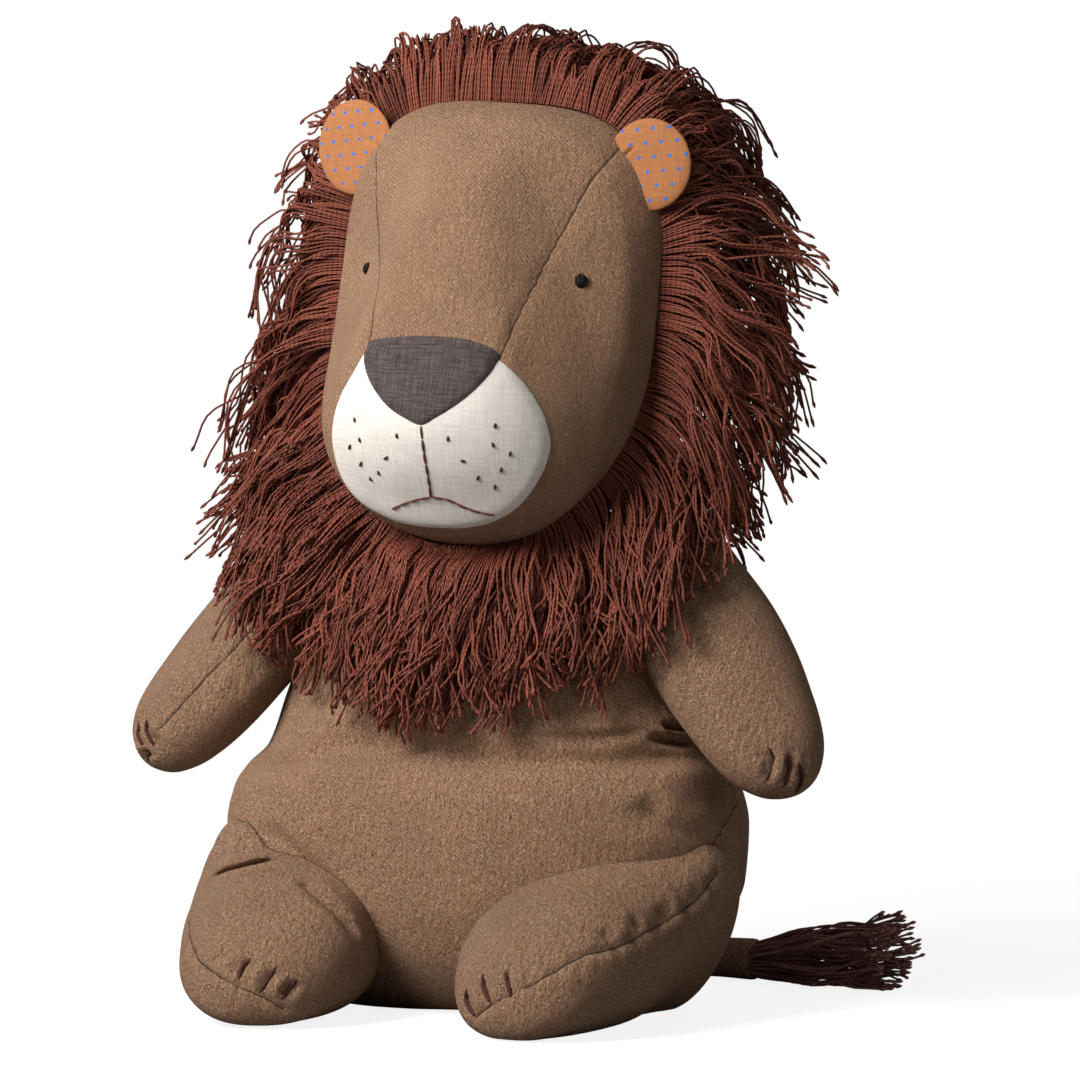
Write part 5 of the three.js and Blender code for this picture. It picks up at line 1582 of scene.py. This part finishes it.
manePoints, maneAngles, maneTones, maneLayers, maneStrands, maneSteps = manePaths()
manePoints = turnedBy(manePoints.reshape(-1, 3), headPlace).reshape(manePoints.shape)
hanging = np.abs(maneAngles) > mane["hangsFrom"]
under = [treeOf(covers["armLeft"]), treeOf(covers["armRight"]), treeOf(torsoCover)]
manePoints[hanging] = inFront(manePoints[hanging], under, maneLayers[hanging], maneStrands[hanging])
for tree, most in [(headTree, mane["overHead"])] + [(tree, mane["overBody"]) for tree in under]:
    manePoints[:, 1:] = keepOut(manePoints[:, 1:], tree, np.minimum(maneLayers, most))
locks = {}
for name, middle in (("maneCrown", 0), ("maneBrow", 30), ("maneTemple", 60), ("maneCheek", 90),
                     ("maneJaw", 120), ("maneShoulder", 150), ("maneBib", 180)):
    near = np.abs(np.abs(maneAngles) - middle) <= 15
    sides = {"Left": near & (maneAngles > 0), "Right": near & (maneAngles < 0)}
    if middle in (0, 180):
        sides = {"": near}
    for sideName, pick in sides.items():
        locks[name + sideName] = threads(name + sideName, manePoints[pick], yarnGirth(maneSteps),
                                         mane["thickness"], mane["sides"], auburnYarn, maneTones[pick])
print("mane ready", len(manePoints), "yarns")


# the woven tape that holds the yarn, in the rim seam behind the first row
tape = {
    "sides": 160, "weave": (2.6, 2.5),
    # once round its section: depth in front of the rim seam, height over the cloth
    "section": [(-9.6, 0.2), (-9.2, 1.1), (-4, 1.3), (1.0, 1.0), (1.6, 0.2), (1.2, -0.6), (-4, -0.5),
                (-9.2, -0.6)],
}


def tapeRing():
    band, sides, bands = [], tape["sides"], len(tape["section"])
    for depth, rise in tape["section"]:
        ring = headRing(depth, sides, rise)[:sides]
        band.append(np.stack([ring[:, 0], np.full(sides, -depth), ring[:, 1]], axis=1))
    points = turnedBy(np.array(band).reshape(-1, 3), headPlace)
    faces = []
    for b in range(bands):
        for s in range(sides):
            here, there, ahead = b * sides, (b + 1) % bands * sides, (s + 1) % sides
            faces.append((here + s, here + ahead, there + ahead, there + s))
    uv = [((v % sides) * tape["weave"][0], (v // sides) * tape["weave"][1]) for part in faces for v in part]
    obj = newPiece("maneTape", points, faces, uv, fringeTape)
    outward(obj)
    return obj


maneTape = tapeRing()


# tail tuft: a bunch of the same yarn, set a little paler and browner, bound round the tail's end; the paler
# colour is painted light for the lion's shadow it lies in
tuft = {"yarns": 150, "length": 57.5, "root": 5.8, "spread": 14.0, "rise": 6.0, "thickness": 0.84, "seed": 19,
        "binding": {"turns": 3, "points": 25, "thickness": 0.95}}


def tuftPaths():
    rng = np.random.default_rng(tuft["seed"])
    end, before = tailPath[-4], tailPath[-14]
    ahead = (end - before) / np.linalg.norm(end - before)
    side = np.cross(ahead, [0, 0, 1.0])
    up = np.array([0, 0, 1.0])
    steps = yarnSteps(20)
    n = tuft["yarns"]
    angle = rng.uniform(0, 2 * math.pi, n)
    reach = np.sqrt(rng.uniform(0.15, 1, n))
    lane = np.stack([np.cos(angle), np.sin(angle)], axis=1) * reach[:, None]
    swell = tuft["root"] + (tuft["spread"] - tuft["root"]) * steps ** 0.8
    length = tuft["length"] * (1 - 0.12 * rng.uniform(size=n))
    path = (end[None, None] + ahead[None, None] * (steps[None, :, None] * length[:, None, None])
            + side[None, None] * (lane[:, 0, None] * swell[None, :])[:, :, None] * 1.15
            + up[None, None] * (lane[:, 1, None] * swell[None, :])[:, :, None]
            + up[None, None] * (tuft["rise"] * steps)[None, :, None])
    small = np.floor(angle * 3.2).astype(int) * 3 + np.floor(reach * 2.9).astype(int)
    small = np.unique(small, return_inverse=True)[1]
    big = np.floor(angle / 1.05).astype(int)
    path = comb(path, steps, small, big, rng, (0.4, 0.1), 0.55)
    path[:, :, 2] = np.where(path[:, :, 2] < 0.9, 0.9 + 0.1 * np.abs(path[:, :, 2] - 0.9) % 0.6,
                             path[:, :, 2])
    return path, steps, np.clip(1 + rng.normal(0, 0.14, n), 0.6, 1.4)


def bindingTurns():
    around = np.linspace(0, 2 * math.pi, tuft["binding"]["points"])
    circle = np.stack([np.zeros(len(around)), np.cos(around), np.sin(around)], axis=1)
    circle *= tail["radius"] * 0.93
    return [tailPath[-5 - k] + circle for k in range(tuft["binding"]["turns"])]


tuftPoints, tuftSteps, tuftTones = tuftPaths()
tailTuft = threads("tailTuft", tuftPoints, yarnGirth(tuftSteps), tuft["thickness"], 5, tuftYarnWithPaintedLight, tuftTones)
tuftBinding = threads("tuftBinding", bindingTurns(), 1.0, tuft["binding"]["thickness"], 6, tuftYarnWithPaintedLight)
print("tuft ready")


# what each piece stands for and what it moves with
def stands(piece, nodes, body=None):
    if nodes:
        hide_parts(*nodes)
    if body:
        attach(piece, body)


stands(torsoCover, ["torso_cover", "torso_stuffing"], "torso")
stands(headCover, ["head_cover", "head_stuffing"], "head")
stands(muzzlePatch, ["muzzle_patch"], "head")
stands(nosePatch, ["nose_patch"], "head")
stands(mouthStitches, ["mouth_line", "mouth_corner_left", "mouth_corner_right"], "head")
stands(whiskerStitches, [], "head")
stands(maneTape, ["mane_tape"], "head")
for sideName, side, low in (("Left", 1, "left"), ("Right", -1, "right")):
    stands(eyes[sideName], ["eye_knot_" + low], "head")
    stands(ears["front" + sideName], ["ear_front_" + low], "head")
    stands(ears["back" + sideName], ["ear_back_" + low], "head")
    for limb in ("arm", "leg"):
        cover, body = covers[limb + sideName], limb + "_" + low
        stands(claws[limb + sideName], ["claw_%s_%d" % (body, k) for k in (1, 2, 3)], body)
        stands(cover, ["%s_cover_%s" % (limb, low), "%s_stuffing_%s" % (limb, low)])
    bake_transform(covers["arm" + sideName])
    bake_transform(covers["leg" + sideName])
for name, piece in locks.items():
    node = name.replace("mane", "mane_").replace("Left", "_left").replace("Right", "_right").lower()
    if any(part in name for part in ("Jaw", "Shoulder", "Bib")):
        stands(piece, [node])
        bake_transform(piece)
    else:
        stands(piece, [node], "head")
stands(tailTuft, ["tail_tuft"], "tail")
stands(tuftBinding, [], "tail")
stands(tailCover, ["tail_cover", "tail_stuffing"])
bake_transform(tailCover)

print("lion ready")
